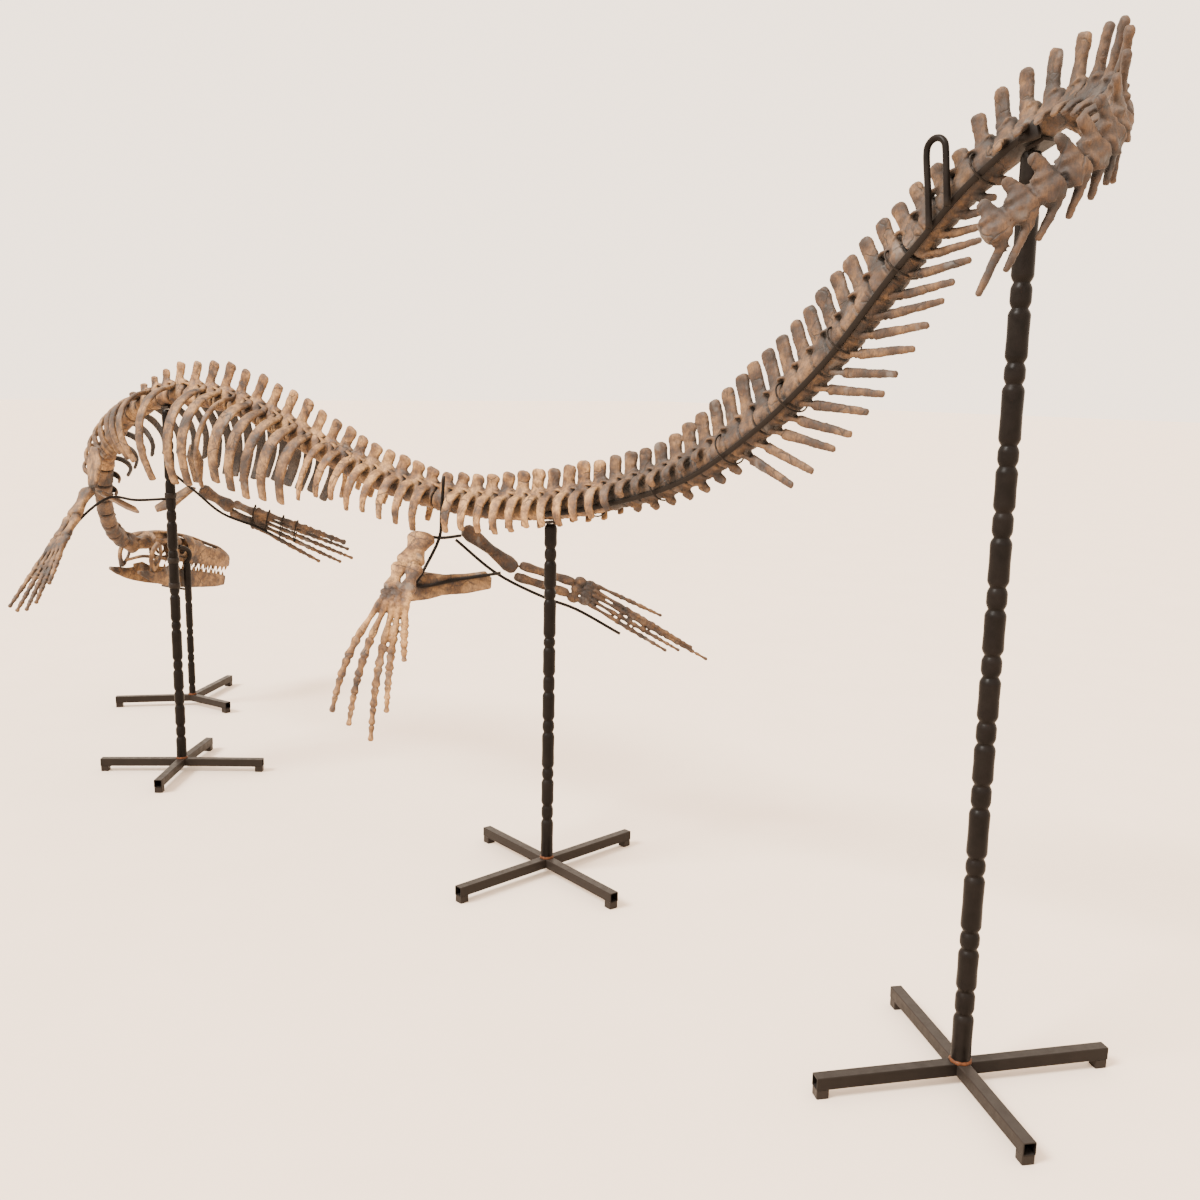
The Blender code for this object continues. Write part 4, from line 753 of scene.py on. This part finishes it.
CHEEK_BARS = (
    # rear arm of the parietal
    (((0.060, 0.018, 0.073), (0.040, 0.060, 0.061), (0.026, 0.098, 0.043)), UPWARDS,
     (0.018, 0.020, 0.024), (0.014, 0.012, 0.014)),
    # upper temporal arch
    (((0.030, 0.102, 0.040), (0.09, 0.112, 0.049), (0.155, 0.103, 0.053)), UPWARDS,
     (0.020, 0.016, 0.022), (0.012, 0.011, 0.012)),
    # postorbital behind the eye, then the jugal under it
    (((0.165, 0.037, 0.084), (0.160, 0.075, 0.072), (0.158, 0.104, 0.050), (0.160, 0.102, 0.013),
      (0.172, 0.098, -0.025)), FORWARDS, (0.034, 0.026, 0.026, 0.014, 0.014), (0.012, 0.012, 0.012, 0.010, 0.011)),
    (((0.162, 0.098, -0.017), (0.20, 0.093, -0.035), (0.262, 0.085, -0.037)), UPWARDS,
     (0.014, 0.012, 0.020), (0.010, 0.010, 0.011)),
    # prefrontal before the eye
    (((0.235, 0.038, 0.081), (0.245, 0.070, 0.068), (0.250, 0.087, 0.040), (0.258, 0.084, -0.013)), FORWARDS,
     (0.050, 0.046, 0.034, 0.030), (0.012, 0.012, 0.011, 0.012)))
LOWER_BARS = (
    # quadrate: a deep curved bone with a hollow at its middle
    (((0.034, 0.110, 0.028), (0.012, 0.112, -0.002), (0.004, 0.112, -0.042), (0.016, 0.112, -0.080),
      (0.022, 0.112, -0.098)), SIDEWAYS, (0.026, 0.022, 0.020, 0.024, 0.030), (0.018, 0.015, 0.013, 0.014, 0.012)),
    (((0.044, 0.112, 0.023), (0.056, 0.112, -0.016), (0.050, 0.112, -0.052), (0.030, 0.112, -0.090)), SIDEWAYS,
     (0.020, 0.014, 0.014, 0.020), (0.014, 0.010, 0.010, 0.014)),
    # pterygoid, its wing and the vomer in the palate
    (((0.030, 0.098, -0.069), (0.09, 0.058, -0.041), (0.17, 0.037, -0.042), (0.26, 0.036, -0.041)), SIDEWAYS,
     (0.016, 0.020, 0.028, 0.020), (0.010, 0.012, 0.012, 0.010)),
    (((0.150, 0.038, -0.041), (0.185, 0.068, -0.040), (0.205, 0.089, -0.039)), FORWARDS,
     (0.026, 0.022, 0.020), (0.010, 0.009, 0.009)),
    (((0.25, 0.034, -0.041), (0.37, 0.022, -0.043), (0.52, 0.012, -0.042)), SIDEWAYS,
     (0.026, 0.022, 0.014), (0.010, 0.009, 0.009)))
BAR_WIDER, BAR_THICKER = 1.22, 1.30
EYE_PLATES = 13
EYE_RING = 0.024


def skull_bars(shell, hand, bars):
    """Bars of one side of the skull, each smoothed through its points."""
    for points, across, widths, thicks in bars:
        path = smooth_path([skull_point(x, hand * y, z) for x, y, z in points], 5)
        axis = NOSE * across[0] + SKULL_LEFT * across[1] + SKULL_UP * across[2]
        shell.shaft(path, axis, [BAR_WIDER * w for w in widths], [BAR_THICKER * k for k in thicks], 12, 2.3)


def maxilla(shell, hand):
    """A tall plate from before the eye to the tip of the snout, lower at the nostril."""
    rings = []
    for x in np.linspace(0.245, 0.560, 14):
        roof, roof_z, brow, brow_z, lip, lip_z = read_at(x, SKULL_SECTIONS, ROOF, 2, BROW, 4, LIP, 6)
        inwards = 0.62 if 0.36 < x < 0.46 else 0.25
        in_y = roof + (brow - roof) * inwards
        in_z = roof_z + (brow_z - roof_z) * inwards
        inset = 0.011 if x < 0.54 else 0.006
        outline = [(lip - inset, lip_z + 0.004), (lip, lip_z), (lip, lip_z + 0.010), (brow, brow_z),
                   (in_y, in_z - 0.001), (in_y - 0.002, in_z - inset), (brow - inset, brow_z - inset * 0.6)]
        rings.append([skull_point(x, hand * max(y, 0.001), z) for y, z in outline])
    shell.loft(rings)


def build_skull():
    shell = Shell()
    skull_bars(shell, 1, (BRAINCASE,))
    shell.ball(skull_point(0.004, 0, 0.008), (0.017, 0.017, 0.015))
    skull_bars(shell, 1, ROOF_BARS)
    for hand in (1, -1):
        skull_bars(shell, hand, CHEEK_BARS)
        maxilla(shell, hand)
        skull_bars(shell, hand, LOWER_BARS)
        for cos, sin in circle(EYE_PLATES):
            shell.ball(skull_point(0.206 + EYE_RING * cos, hand * 0.078, 0.006 + EYE_RING * sin),
                       (0.0085, 0.0046, 0.0085), (NOSE, SKULL_LEFT, SKULL_UP), 6, 8)
    bone_piece("skull_bones", shell, MIDDLE_BONE, ("skull",), "skull")


def teeth(name, places, up):
    """Pointed teeth that curve to the rear, each on its swollen root."""
    shell = Shell()
    for base, long, radius in places:
        rows = []
        for share, girth in ((-0.25, 1.15), (0.0, 1.0), (0.3, 0.86), (0.6, 0.60), (0.85, 0.30), (1.0, 0.05)):
            size = radius * girth
            middle = base + up * long * share - NOSE * 0.22 * long * max(share, 0.0) ** 2
            rows.append([middle + (NOSE * cos + SKULL_LEFT * sin) * size for cos, sin in circle(10)])
        shell.loft(rows)
    place_piece(mesh_object(name, shell), BONE)


def build_jaw():
    shell = Shell()
    for hand in (1, -1):
        rings = []
        for x in np.linspace(-0.050, JAW_LENGTH - 0.015, 26):
            half, low, high = read_at(x, JAW_SECTIONS, JAW_HALF, JAW_LOW, JAW_HIGH)
            thick = 0.018 if x < 0.47 else 0.014
            centre_y, centre_z = half - thick / 2 - 0.001, (low + high) / 2
            ring = []
            for cos, sin in circle(14):
                c, s = squarer(cos, 0.8), squarer(sin, 0.7)
                groove = 1.0 - 0.30 * math.exp(-(s / 0.25) ** 2) if 0.10 < x < 0.5 else 1.0
                ring.append(jaw_point(x, hand * (centre_y + thick / 2 * c * groove), centre_z + (high - low) / 2 * s))
            rings.append(ring)
        shell.loft(rings)
        # the coronoid's crest, then the joint
        crest = ((0.085, 0.107, -0.084), (0.120, 0.094, -0.070), (0.165, 0.083, -0.078))
        shell.shaft([jaw_point(x, hand * y, z) for x, y, z in crest], SKULL_UP, [0.020, 0.022, 0.010],
                    [0.014, 0.012, 0.010])
        shell.ball(jaw_point(0.008, hand * 0.110, -0.112), (0.020, 0.014, 0.011), (NOSE, SKULL_LEFT, SKULL_UP))
    shell.shaft([jaw_point(0.500, 0.014, -0.086), jaw_point(0.553, 0.0, -0.082), jaw_point(0.500, -0.014, -0.086)],
                SKULL_UP, [0.046, 0.040, 0.046], [0.014, 0.014, 0.014])
    bone_piece("lower_jaw_bones", shell, MIDDLE_BONE, ("lower_jaw",), "plate")


build_skull()
build_jaw()
TEETH = 11                    # on each side of each jaw
upper, lower = [], []
for k in range(TEETH):
    size = 1.0 - 0.35 * abs(k - 6) / 6
    x = 0.20 + (SKULL_LENGTH - 0.215) * (k + 0.5) / TEETH
    lip, lip_z = read_at(x, SKULL_SECTIONS, LIP, 6)
    upper += [(skull_point(x, hand * (lip - 0.0075), lip_z), 0.024 * size, 0.0062) for hand in (1, -1)]
    x = 0.185 + 0.355 * (k + 0.5) / TEETH
    half, high = read_at(x, JAW_SECTIONS, JAW_HALF, JAW_HIGH)
    lower += [(jaw_point(x, hand * (half - 0.010), high), 0.022 * size, 0.0056) for hand in (1, -1)]
teeth("upper_teeth", upper, -SKULL_UP)
teeth("lower_teeth", lower, jaw_point(0, 0, 1) - jaw_point(0, 0, 0))


# ------------------------------------------------------------------ girdles and flippers
def shifted(points):
    return [Vector(p) + SHIFT for p in points]


def limb_bone(shell, a, b, across, wide, waist, thick):
    """Hourglass bone: wide ends, slim middle."""
    path = [a.lerp(b, t) for t in (0.0, 0.12, 0.3, 0.5, 0.7, 0.88, 1.0)]
    shell.shaft(path, across, [wide * 0.86, wide, wide * 0.80, waist, wide * 0.80, wide, wide * 0.86],
                [thick, thick, thick * 0.82, thick * 0.74, thick * 0.82, thick, thick], 14, 2.5)


def flipper(node, finish, joints, widths, tips, chord, girth, broad_digit=None, bow=0.0):
    """Upper bone, two bones of the forearm, wrist and digits, from three joints and the digits' tips."""
    shell = Shell()
    (root, elbow, wrist), tips = shifted(joints), shifted(tips)
    axis = (wrist - root).normalized()
    flat = axis.cross(Vector(chord).normalized()).normalized()
    across = flat.cross(axis).normalized()
    upper_width, arm_width, palm_width = widths
    limb_bone(shell, root, root.lerp(elbow, 0.94), across, 2 * upper_width * girth, 1.3 * upper_width * girth, 0.042)
    forearm = (wrist - elbow).length
    for place in (-0.54, 0.54):
        aside = across * place * arm_width
        limb_bone(shell, elbow.lerp(wrist, 0.03) + aside, elbow.lerp(wrist, 0.70) + aside, across,
                  arm_width * 1.05 * girth, arm_width * 0.76, 0.030)
    for share, count, wide in ((0.80, 3, 0.42), (0.94, 4, 0.34)):
        for k in range(count):
            place = (2.0 * k / (count - 1) - 1.0) * 0.72
            shell.ball(elbow.lerp(wrist, share) + across * place * palm_width,
                       (palm_width * wide, max(0.0150, 0.085 * forearm), 0.0125), (across, axis, flat), 6, 10)
    digits = len(tips)
    broad = 2 * palm_width / digits
    for k, tip in enumerate(tips):
        start = wrist + across * palm_width * (2.0 * (k + 0.5) / digits - 1.0)
        count = 6 if k in (1, 2, 3) else 5
        cuts = [0.0]
        for j in range(count):
            cuts.append(cuts[-1] + (1.75 if j == 0 else 1.0) * (0.92 ** j))
        cuts = [c / cuts[-1] for c in cuts]
        for near, far in zip(cuts, cuts[1:]):
            a, b = (start.lerp(tip, cut) - across * bow * (1.0 - 0.22 * k) * math.sin(math.pi * cut)
                    for cut in (near + 0.008, far - 0.012))
            size = broad * girth * (1.08 + 0.40 * math.sin(math.pi * min(1.1 * near, 1.0))) * (1.0 - 0.30 * near)
            if k == broad_digit:
                size = broad * (1.05 + 0.75 * math.sin(math.pi * min(near + 0.12, 0.9)))
            limb_bone(shell, a, b, across, size, size * 0.62, 0.0215 - 0.0070 * near)
    bone_piece(f"{node}_bones", shell, finish, (node,), "flipper")


# node and finish, three joints, widths at them, tips of the digits, direction across, girth
FLIPPERS = (
    ("fore_flipper_left", MIDDLE_BONE, [(-1.553, -0.5465, 1.146), (-1.507, -0.625, 1.050), (-1.467, -0.705, 0.950)],
     (0.040, 0.048, 0.056), [(-1.420, -0.905, 0.735), (-1.385, -0.890, 0.722), (-1.355, -0.865, 0.728),
                             (-1.335, -0.835, 0.755), (-1.330, -0.785, 0.825)], (1.0, 0.10, 0.0), 1.05),
    ("fore_flipper_right", DARK_BONE, [(-1.540, -0.0815, 1.127), (-1.450, 0.008, 1.055), (-1.370, 0.098, 1.003)],
     (0.038, 0.045, 0.052), [(-1.240, 0.297, 0.828), (-1.165, 0.357, 0.830), (-1.115, 0.385, 0.850),
                             (-1.112, 0.365, 0.890), (-1.099, 0.341, 0.922)], (0.35, -0.20, 1.0), 0.84, 4),
    ("hind_flipper_left", BONE, [(0.012, -0.012, 1.098), (0.078, -0.110, 1.018), (0.143, -0.206, 0.918)],
     (0.040, 0.046, 0.050), [(0.090, -0.405, 0.577), (0.122, -0.365, 0.533), (0.153, -0.305, 0.478),
                             (0.168, -0.255, 0.567), (0.185, -0.198, 0.730)], (0.60, 0.72, 0.0), 1.22, None, 0.026),
    ("hind_flipper_right", DARK_BONE, [(-0.025, 0.190, 1.100), (0.075, 0.335, 0.960), (0.252, 0.530, 0.880)],
     (0.034, 0.040, 0.044), [(0.385, 0.745, 0.800), (0.505, 0.783, 0.700), (0.541, 0.824, 0.658),
                             (0.480, 0.745, 0.690), (0.455, 0.705, 0.690)], (0.3, 0.1, -1.0), 0.84))
for flipper_data in FLIPPERS:
    flipper(*flipper_data)


PLATE_THICKNESS = 0.017


def flat_bone(node, outline, normal, skin="plate"):
    """A girdle's plate, thinner at its rim."""
    steps = 5
    loop = outline + [outline[0]]
    shell = Shell()
    shell.prism([a.lerp(b, i / steps) for a, b in zip(loop, loop[1:]) for i in range(steps)], normal, PLATE_THICKNESS)
    bone_piece(f"{node}_bone", shell, MIDDLE_BONE, (node,), skin)


def fan(*rays):
    """Ends of rays, each given by its angle and its length."""
    return [(r * math.cos(math.radians(angle)), r * math.sin(math.radians(angle))) for angle, r in rays]


PELVIS_FRONT = Vector((-0.050, -0.030, 0.940)) + SHIFT
PELVIS_REAR = Vector((0.135, 0.175, 0.925)) + SHIFT
PELVIS_OUTLINE = ((0.00, 0.036), (0.06, 0.034), (0.12, 0.030), (0.19, 0.038), (0.26, 0.052), (0.282, 0.030),
                  (0.28, -0.004), (0.20, -0.026), (0.12, -0.038), (0.07, -0.056), (0.00, -0.070))
pelvis_long = (PELVIS_REAR - PELVIS_FRONT).normalized()
pelvis_side = Vector((0, 0, 1)).cross(pelvis_long).normalized()
for side_name, hand in (("left", -1.0), ("right", 1.0)):
    x, y, z = -1.545, -0.315 + hand * 0.215, 1.155
    blade = fan((200, 0.040), (125, 0.120), (100, 0.150), (75, 0.150), (45, 0.115), (-20, 0.040))
    flat_bone(f"scapula_{side_name}", shifted([(x + ahead, y - hand * 0.10 * high, z + 0.016 + high)
                                               for ahead, high in blade]), (0, 1, 0.1 * hand))
    plate = fan((20, 0.038), (60, 0.150), (90, 0.170), (115, 0.165), (160, 0.038))
    flat_bone(f"coracoid_{side_name}", shifted([(x + ahead, y - hand * (0.010 + low), z - 0.006 - 0.60 * low)
                                                for ahead, low in plate]), (0, -0.60 * hand, 1))
for side_name, hand in (("left", -1.0), ("right", 1.0)):
    flat_bone(f"pelvis_{side_name}", [PELVIS_FRONT + pelvis_long * x + Vector((0, 0, z)) + pelvis_side * hand * 0.0088
                                      for x, z in PELVIS_OUTLINE], pelvis_side, "pelvis")


# ------------------------------------------------------------------ stands
TUBE_WALL, TUBE_BEVEL = 0.0025, 0.0022
UP = Vector((0, 0, 1))


def steel_piece(name, shell, nodes=(), finish=STEEL):
    return place_piece(mesh_object(name, shell), finish, nodes)


def base(name, centre, legs):
    """Square tube legs with open ends and a block foot under each."""
    shell = Shell()
    half = TUBE / 2
    for angle, reach in legs:
        a = math.radians(angle)
        run = Vector((math.cos(a), math.sin(a), 0))
        side = Vector((-run.y, run.x, 0))

        def square(out, size, round_by):
            corners = []
            for quarter, (sx, sz) in enumerate(((1, 1), (-1, 1), (-1, -1), (1, -1))):
                for k in range(4):
                    turn = quarter * math.pi / 2 + math.pi / 2 * k / 3
                    x = sx * (size - round_by) + round_by * math.cos(turn)
                    z = sz * (size - round_by) + round_by * math.sin(turn)
                    corners.append(centre + run * out + side * x + UP * (FOOT_HEIGHT + half + z))
            return corners
        inner = half - TUBE_WALL
        shell.loft([square(0.0, half, TUBE_BEVEL), square(reach - 0.0010, half, TUBE_BEVEL),
                    square(reach, half - 0.0006, TUBE_BEVEL), square(reach, inner, 0.0012),
                    square(reach - 0.045, inner, 0.0012)])
        foot = centre + run * (reach - half - 0.0004)
        corners = ((1, 0.86), (0.86, 1), (-0.86, 1), (-1, 0.86), (-1, -0.86), (-0.86, -1), (0.86, -1), (1, -0.86))
        shell.loft([[foot + (run * sx + side * sy) * size + UP * z for sx, sy in corners] for z, size in
                    ((0.0, half - 0.0012), (0.0012, half - 0.0004), (FOOT_HEIGHT - 0.0006, half - 0.0004),
                     (FOOT_HEIGHT, half - 0.0014))])
    thing = steel_piece(f"stand_{name}_cross", shell, (f"stand_{name}_base",))
    thing.data.polygons.foreach_set("use_smooth", [False] * len(thing.data.polygons))
    weld = Shell()
    full = POLE_RADIUS[name]
    weld.loft([[centre + Vector(((r + 0.0007 * math.sin(9 * a)) * math.cos(a),
                                 (r + 0.0007 * math.sin(9 * a)) * math.sin(a), z))
                for a in (2 * math.pi * k / 48 for k in range(48))]
               for z, r in ((0.0525, full + 0.0022), (0.0555, full + 0.0028), (0.0585, full + 0.0012),
                            (0.0610, full - 0.001))])
    steel_piece(f"stand_{name}_weld", weld, finish=RUST)


def turned(centre, profile, sides):
    """A round body about an upright axis, from its heights and radii."""
    shell = Shell()
    shell.loft([[centre + Vector((r * cos, r * sin, z)) for cos, sin in circle(sides)] for z, r in profile])
    return shell


GROOVE_SHARE = 0.72           # radius in the grooves, against the pole's
LONGEST_BEAD = 0.075


def pole(name, centre):
    """Long turned lengths and short beads, with a groove between them."""
    low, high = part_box("stand_" + name + "_pole")
    full = POLE_RADIUS[name]
    slim = GROOVE_SHARE * full
    marks = [low.z] + [g for g in GROOVES[name] if g < high.z - 0.03] + [high.z]
    levels = [(low.z, full * 0.96)]
    for a, b in zip(marks, marks[1:]):
        span = b - a
        bead = span < LONGEST_BEAD
        big = full * (0.95 if bead else 1.0)
        ease = min(0.016, span * 0.42)
        for share in np.linspace(0, 1, 7)[1:]:
            levels.append((a + ease * share, slim + (big - slim) * math.sin(share * math.pi / 2)))
        if not bead:
            levels.append(((a + b) / 2, big * 0.965))
        for share in np.linspace(1, 0, 7):
            levels.append((b - ease * share, slim + (big - slim) * math.sin(share * math.pi / 2)))
    levels[-1] = (high.z, slim)
    rising = [levels[0]]
    for z, r in levels[1:]:
        if z > rising[-1][0] + 1e-5:
            rising.append((z, r))
    # the foot of the pole stands without a groove
    rising[1:4] = [(z, full * 0.97) for z, _ in rising[1:4]]
    steel_piece(f"stand_{name}_turned_pole", turned(centre, rising, 36), (f"stand_{name}_pole",))


def on_floor(place):
    return Vector((place[0], place[1], 0)) + SHIFT


for stand, (centre, legs) in STANDS.items():
    base(stand, on_floor(centre), legs)
    pole(stand, on_floor(centre))


def round_rod(name, points, radius, nodes=(), smooth=6, sides=14):
    """A bent round rod; a smooth of 1 keeps its points as they are."""
    path = smooth_path(points, smooth) if len(points) > 2 and smooth > 1 else [Vector(p) for p in points]
    first = (path[1] - path[0]).normalized()
    across = first.orthogonal().normalized()
    rings = []
    for i, p in enumerate(path):
        axis = (path[min(i + 1, len(path) - 1)] - path[max(i - 1, 0)]).normalized()
        across = (across - axis * axis.dot(across)).normalized()
        other = axis.cross(across)
        rings.append([p + (across * cos + other * sin) * radius for cos, sin in circle(sides)])
    shell = Shell()
    shell.loft(rings)
    steel_piece(name, shell, nodes)


def stand_rod(node, points, smooth=6, radius=ROD_RADIUS):
    round_rod(f"{node}_steel", points, radius, (node,), smooth)


def hoop(name, centre, a, b, ra, rb, radius):
    round_rod(name, [centre + a * ra * math.cos(t) + b * rb * math.sin(t) for t in np.linspace(0, 2 * math.pi, 25)],
              radius, smooth=1, sides=8)


# flat bar along the tail, with wire round it and the vertebrae: out of the bone, and across the bar
BAR_OUT = Vector((1.0, -0.5)).normalized()
BAR_RUN = Vector((-0.5, -1.0)).normalized()


def bar_middle(s):
    r = along(CENTRUM_RADIUS, s)
    return Vector((0.75 * r, -0.4 * r)) + BAR_OUT * (SEAT_GAP + BAR_THICKNESS / 2)


shell = Shell()
rings = []
for i in range(91):
    s = BAR_FIRST + (BAR_LAST - BAR_FIRST) * i / 90
    middle = bar_middle(s)
    ring = []
    for a, b in ((-1, -0.86), (-0.8, -1), (0.8, -1), (1, -0.86), (1, 0.86), (0.8, 1), (-0.8, 1), (-1, 0.86)):
        p = middle + BAR_OUT * a * BAR_THICKNESS / 2 + BAR_RUN * b * BAR_WIDTH / 2
        ring.append(SPINE.place(s, p.x, p.y))
    rings.append(ring)
shell.loft(rings)
steel_piece("stand_flank_bar_steel", shell, ("stand_flank_bar",))
WIRE_TIES = (3.36, 3.62, 3.90, 4.16, 4.38, 4.62, 4.90)
WIRE_RADIUS, STRAP_RADIUS = 0.0026, 0.0028
for k, s in enumerate(WIRE_TIES):
    up, side = SPINE.frame(s)[2:]
    r = along(CENTRUM_RADIUS, s)
    hoop(f"wire_tie_{k + 1}", SPINE.place(s, 0.16 * r, -0.06 * r), side, up, 1.14 * r, r, WIRE_RADIUS)

# lifting loop: two feet beside the bar, and a bow over them
LOOP_HEIGHT, LOOP_LEAN, LOOP_ROD, LOOP_FOOT_LEFT = 0.145, 0.16, 0.0078, 0.008
loop_middle = sum(LOOP_FEET) / 2
corner = bar_middle(LOOP_FEET[0]) + BAR_OUT * BAR_THICKNESS / 2 - BAR_RUN * BAR_WIDTH / 2
feet = [SPINE.place(s, corner.x + LOOP_FOOT_LEFT + SEAT_GAP, corner.y - 0.012) for s in LOOP_FEET]
rise = Vector((0, 0, 1 - LOOP_LEAN)) + SPINE.frame(loop_middle)[2] * LOOP_LEAN
loop_top = SPINE.point(loop_middle).z + LOOP_HEIGHT - (feet[1] - feet[0]).xy.length / 2
ends = [foot + rise * (loop_top - foot.z) / rise.z for foot in feet]
half = (ends[1] - ends[0]) / 2
loop_points = [feet[0], feet[0].lerp(ends[0], 0.5)]
for step in range(7):
    a = math.pi * step / 6
    loop_points.append((ends[0] + ends[1]) / 2 - half * math.cos(a) + Vector((0, 0, half.length * math.sin(a))))
loop_points += [feet[1].lerp(ends[1], 0.5), feet[1]]
round_rod("stand_lifting_loop_rod", loop_points, LOOP_ROD, ("stand_lifting_loop",))

# rods that carry the front flippers, each from beside the shoulder pole
pole_x, pole_y = STANDS["shoulder"][0]
CLEAR = POLE_RADIUS["shoulder"] + ROD + 0.0003
stand_rod("stand_shoulder_rod_left", shifted([
    (pole_x - CLEAR, pole_y - 0.002, 1.118), (-1.430, -0.410, 1.112), (-1.492, -0.470, 1.122),
    (-1.496, -0.520, 1.105), (-1.507, -0.604, 1.034), (-1.467, -0.690, 0.938), (-1.422, -0.757, 0.853)]))
stand_rod("stand_shoulder_rod_right", shifted([
    (pole_x - 0.002, pole_y + CLEAR, 1.210), (-1.372, -0.180, 1.135), (-1.400, -0.060, 1.040),
    (-1.366, 0.085, 0.974), (-1.325, 0.125, 0.945)]))

# straps round the far front flipper
wrist_a, wrist_b = shifted([(-1.450, 0.008, 1.055), (-1.235, 0.215, 0.955)])
axis = (wrist_b - wrist_a).normalized()
chord = Vector((0.35, -0.20, 1.0))
up = (chord - axis * axis.dot(chord)).normalized()
for k in range(4):
    hoop(f"flipper_strap_{k + 1}", wrist_a.lerp(wrist_b, 0.30 + 0.20 * k), up, axis.cross(up), 0.054, 0.013,
         STRAP_RADIUS)

# rods that hang the hip girdle and the rear flippers
aside = along(CENTRUM_RADIUS, HIP_STATION) + ROD + SEAT_GAP
face = -pelvis_side * (0.0003 + PLATE_THICKNESS + ROD + SEAT_GAP)
front, rear = (PELVIS_FRONT + pelvis_long * x + Vector((0, 0, z)) + face
               for x, z in ((0.030, -0.010), (0.315, 0.055)))
hanger = [SPINE.place(HIP_STATION, aside, high) for high in (0.088, 0.020, -0.045)]
hanger += shifted([(0.0085, 0.058, 1.087), (0.0065, -0.0055, 0.980)]) + [front, front.lerp(rear, 0.5), rear]
stand_rod("stand_hip_rod", hanger, 4)
stand_rod("stand_hip_crossbar", shifted([(0.003, 0.020, 1.092), (-0.008, 0.083, 1.083), (-0.021, 0.165, 1.083)]))
stand_rod("stand_hind_rod_right", shifted([(-0.026, 0.148, 1.070), (0.054, 0.265, 0.952), (0.166, 0.389, 0.871),
                                           (0.228, 0.474, 0.832), (0.334, 0.592, 0.746)]))

# head stand: bar under the jaw, and the arm that bends from the pole's top to the cheek
head_pole = on_floor(STANDS["head"][0])
jaw_half, jaw_low = read_at(0.254, JAW_SECTIONS, JAW_HALF, JAW_LOW)
far_end = jaw_point(0.254, jaw_half + 0.010, jaw_low - ROD - SEAT_GAP)
near_end = far_end + (Vector((head_pole.x, head_pole.y, far_end.z)) - far_end) * 1.10
stand_rod("stand_jaw_bar", [far_end, near_end], 1)
foot = head_pole + Vector((0, 0, 0.700))
cheek = read_at(0.160, SKULL_SECTIONS, BROW)[0]
stand_rod("stand_skull_rod", [
    foot, foot + Vector((0, 0, 0.010)), skull_point(0.218, -0.121, -0.020), skull_point(0.200, -0.131, 0.010),
    skull_point(0.160, -0.131, 0.024), skull_point(0.160, -cheek - SEAT_GAP, 0.024)], 5, 0.0110)

for node in ("stand_tail_saddle", "stand_mid_saddle", "stand_shoulder_saddle"):
    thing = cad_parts[node]
    thing.data.materials.clear()
    thing.data.materials.append(STEEL)

# collars on the shoulder pole, and the flange at the end of the tail's bar
shoulder_pole = on_floor(STANDS["shoulder"][0])
for k, z in enumerate((0.773, 0.874, 1.134)):
    profile = [(z + dz, r) for dz, r in ((-0.011, 0.0205), (-0.009, 0.0228), (0.009, 0.0228), (0.011, 0.0205))]
    steel_piece(f"shoulder_collar_{k + 1}", turned(shoulder_pole, profile, 32))
end_points = [SPINE.place(s, *bar_middle(s)) for s in (5.02, 5.045, 5.07)]
shell = Shell()
shell.shaft(end_points, SPINE.frame(5.04)[2], [0.020, 0.036, 0.044], [0.012, 0.012, 0.009], 14, 3.5)
steel_piece("tail_bar_flange", shell)

# ------------------------------------------------------------------ room, light and camera
FLOOR_HALF = 60
floor_shell = Shell()
floor_shell.points = [(x * FLOOR_HALF, y * FLOOR_HALF, 0) for x, y in ((-1, -1), (1, -1), (1, 1), (-1, 1))]
floor_shell.faces = [(0, 1, 2, 3)]
floor = mesh_object("pale_floor", floor_shell)
tree = Tree("pale_floor_finish")
tree.put(tree.shader.inputs["Base Color"],
         tree.ramp(tree.noise(2.5, 5.0, 0.6), [(0.3, (0.690, 0.582, 0.482)), (0.7, (0.710, 0.602, 0.502))]))
tree.shader.inputs["Roughness"].default_value = 0.85
floor.data.materials.append(tree.material)
floor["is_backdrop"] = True

world = bpy.data.worlds.new("studio")
bpy.context.scene.world = world
world.use_nodes = True
background = world.node_tree.nodes["Background"]
background.inputs["Color"].default_value = (0.98, 0.80, 0.64, 1.0)
background.inputs["Strength"].default_value = 3.6


def lamp(kind, name, place, target, energy, colour):
    data = bpy.data.lights.new(name, kind)
    data.energy = energy
    data.color = colour
    thing = bpy.data.objects.new(name, data)
    thing.location = place
    thing.rotation_euler = (Vector(target) - Vector(place)).to_track_quat("-Z", "Y").to_euler()
    bpy.context.scene.collection.objects.link(thing)
    return data


lamp("SUN", "key", (0.0, 0.0, 0.0), (1.5, 5.5, -6.0), 8.5, (1.0, 0.96, 0.91)).angle = 0.35
lamp("AREA", "fill", (5.5, -3.0, 4.0), (0.5, 0.0, 1.2), 60.0, (1.0, 0.98, 0.96)).size = 4.0

camera_data = bpy.data.cameras.new("photo_camera")
camera_data.sensor_width, camera_data.lens = 36.0, 36.633
camera_data.clip_end = 200.0
camera = bpy.data.objects.new("photo_camera", camera_data)
bpy.context.scene.collection.objects.link(camera)
CAMERA_HEADING, CAMERA_DIP, CAMERA_ROLL = 48.16, 10.35, 1.15
camera.matrix_world = (Matrix.Translation(Vector((3.40, -2.25, 1.628)) + SHIFT)
                       @ Matrix.Rotation(math.radians(CAMERA_HEADING), 4, "Z")
                       @ Matrix.Rotation(math.radians(90 - CAMERA_DIP), 4, "X")
                       @ Matrix.Rotation(math.radians(CAMERA_ROLL), 4, "Z"))
bpy.context.scene.camera = camera

low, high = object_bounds()
{"cad": [list(CAD_LOW), list(CAD_HIGH)], "visual": [list(low), list(high)]}
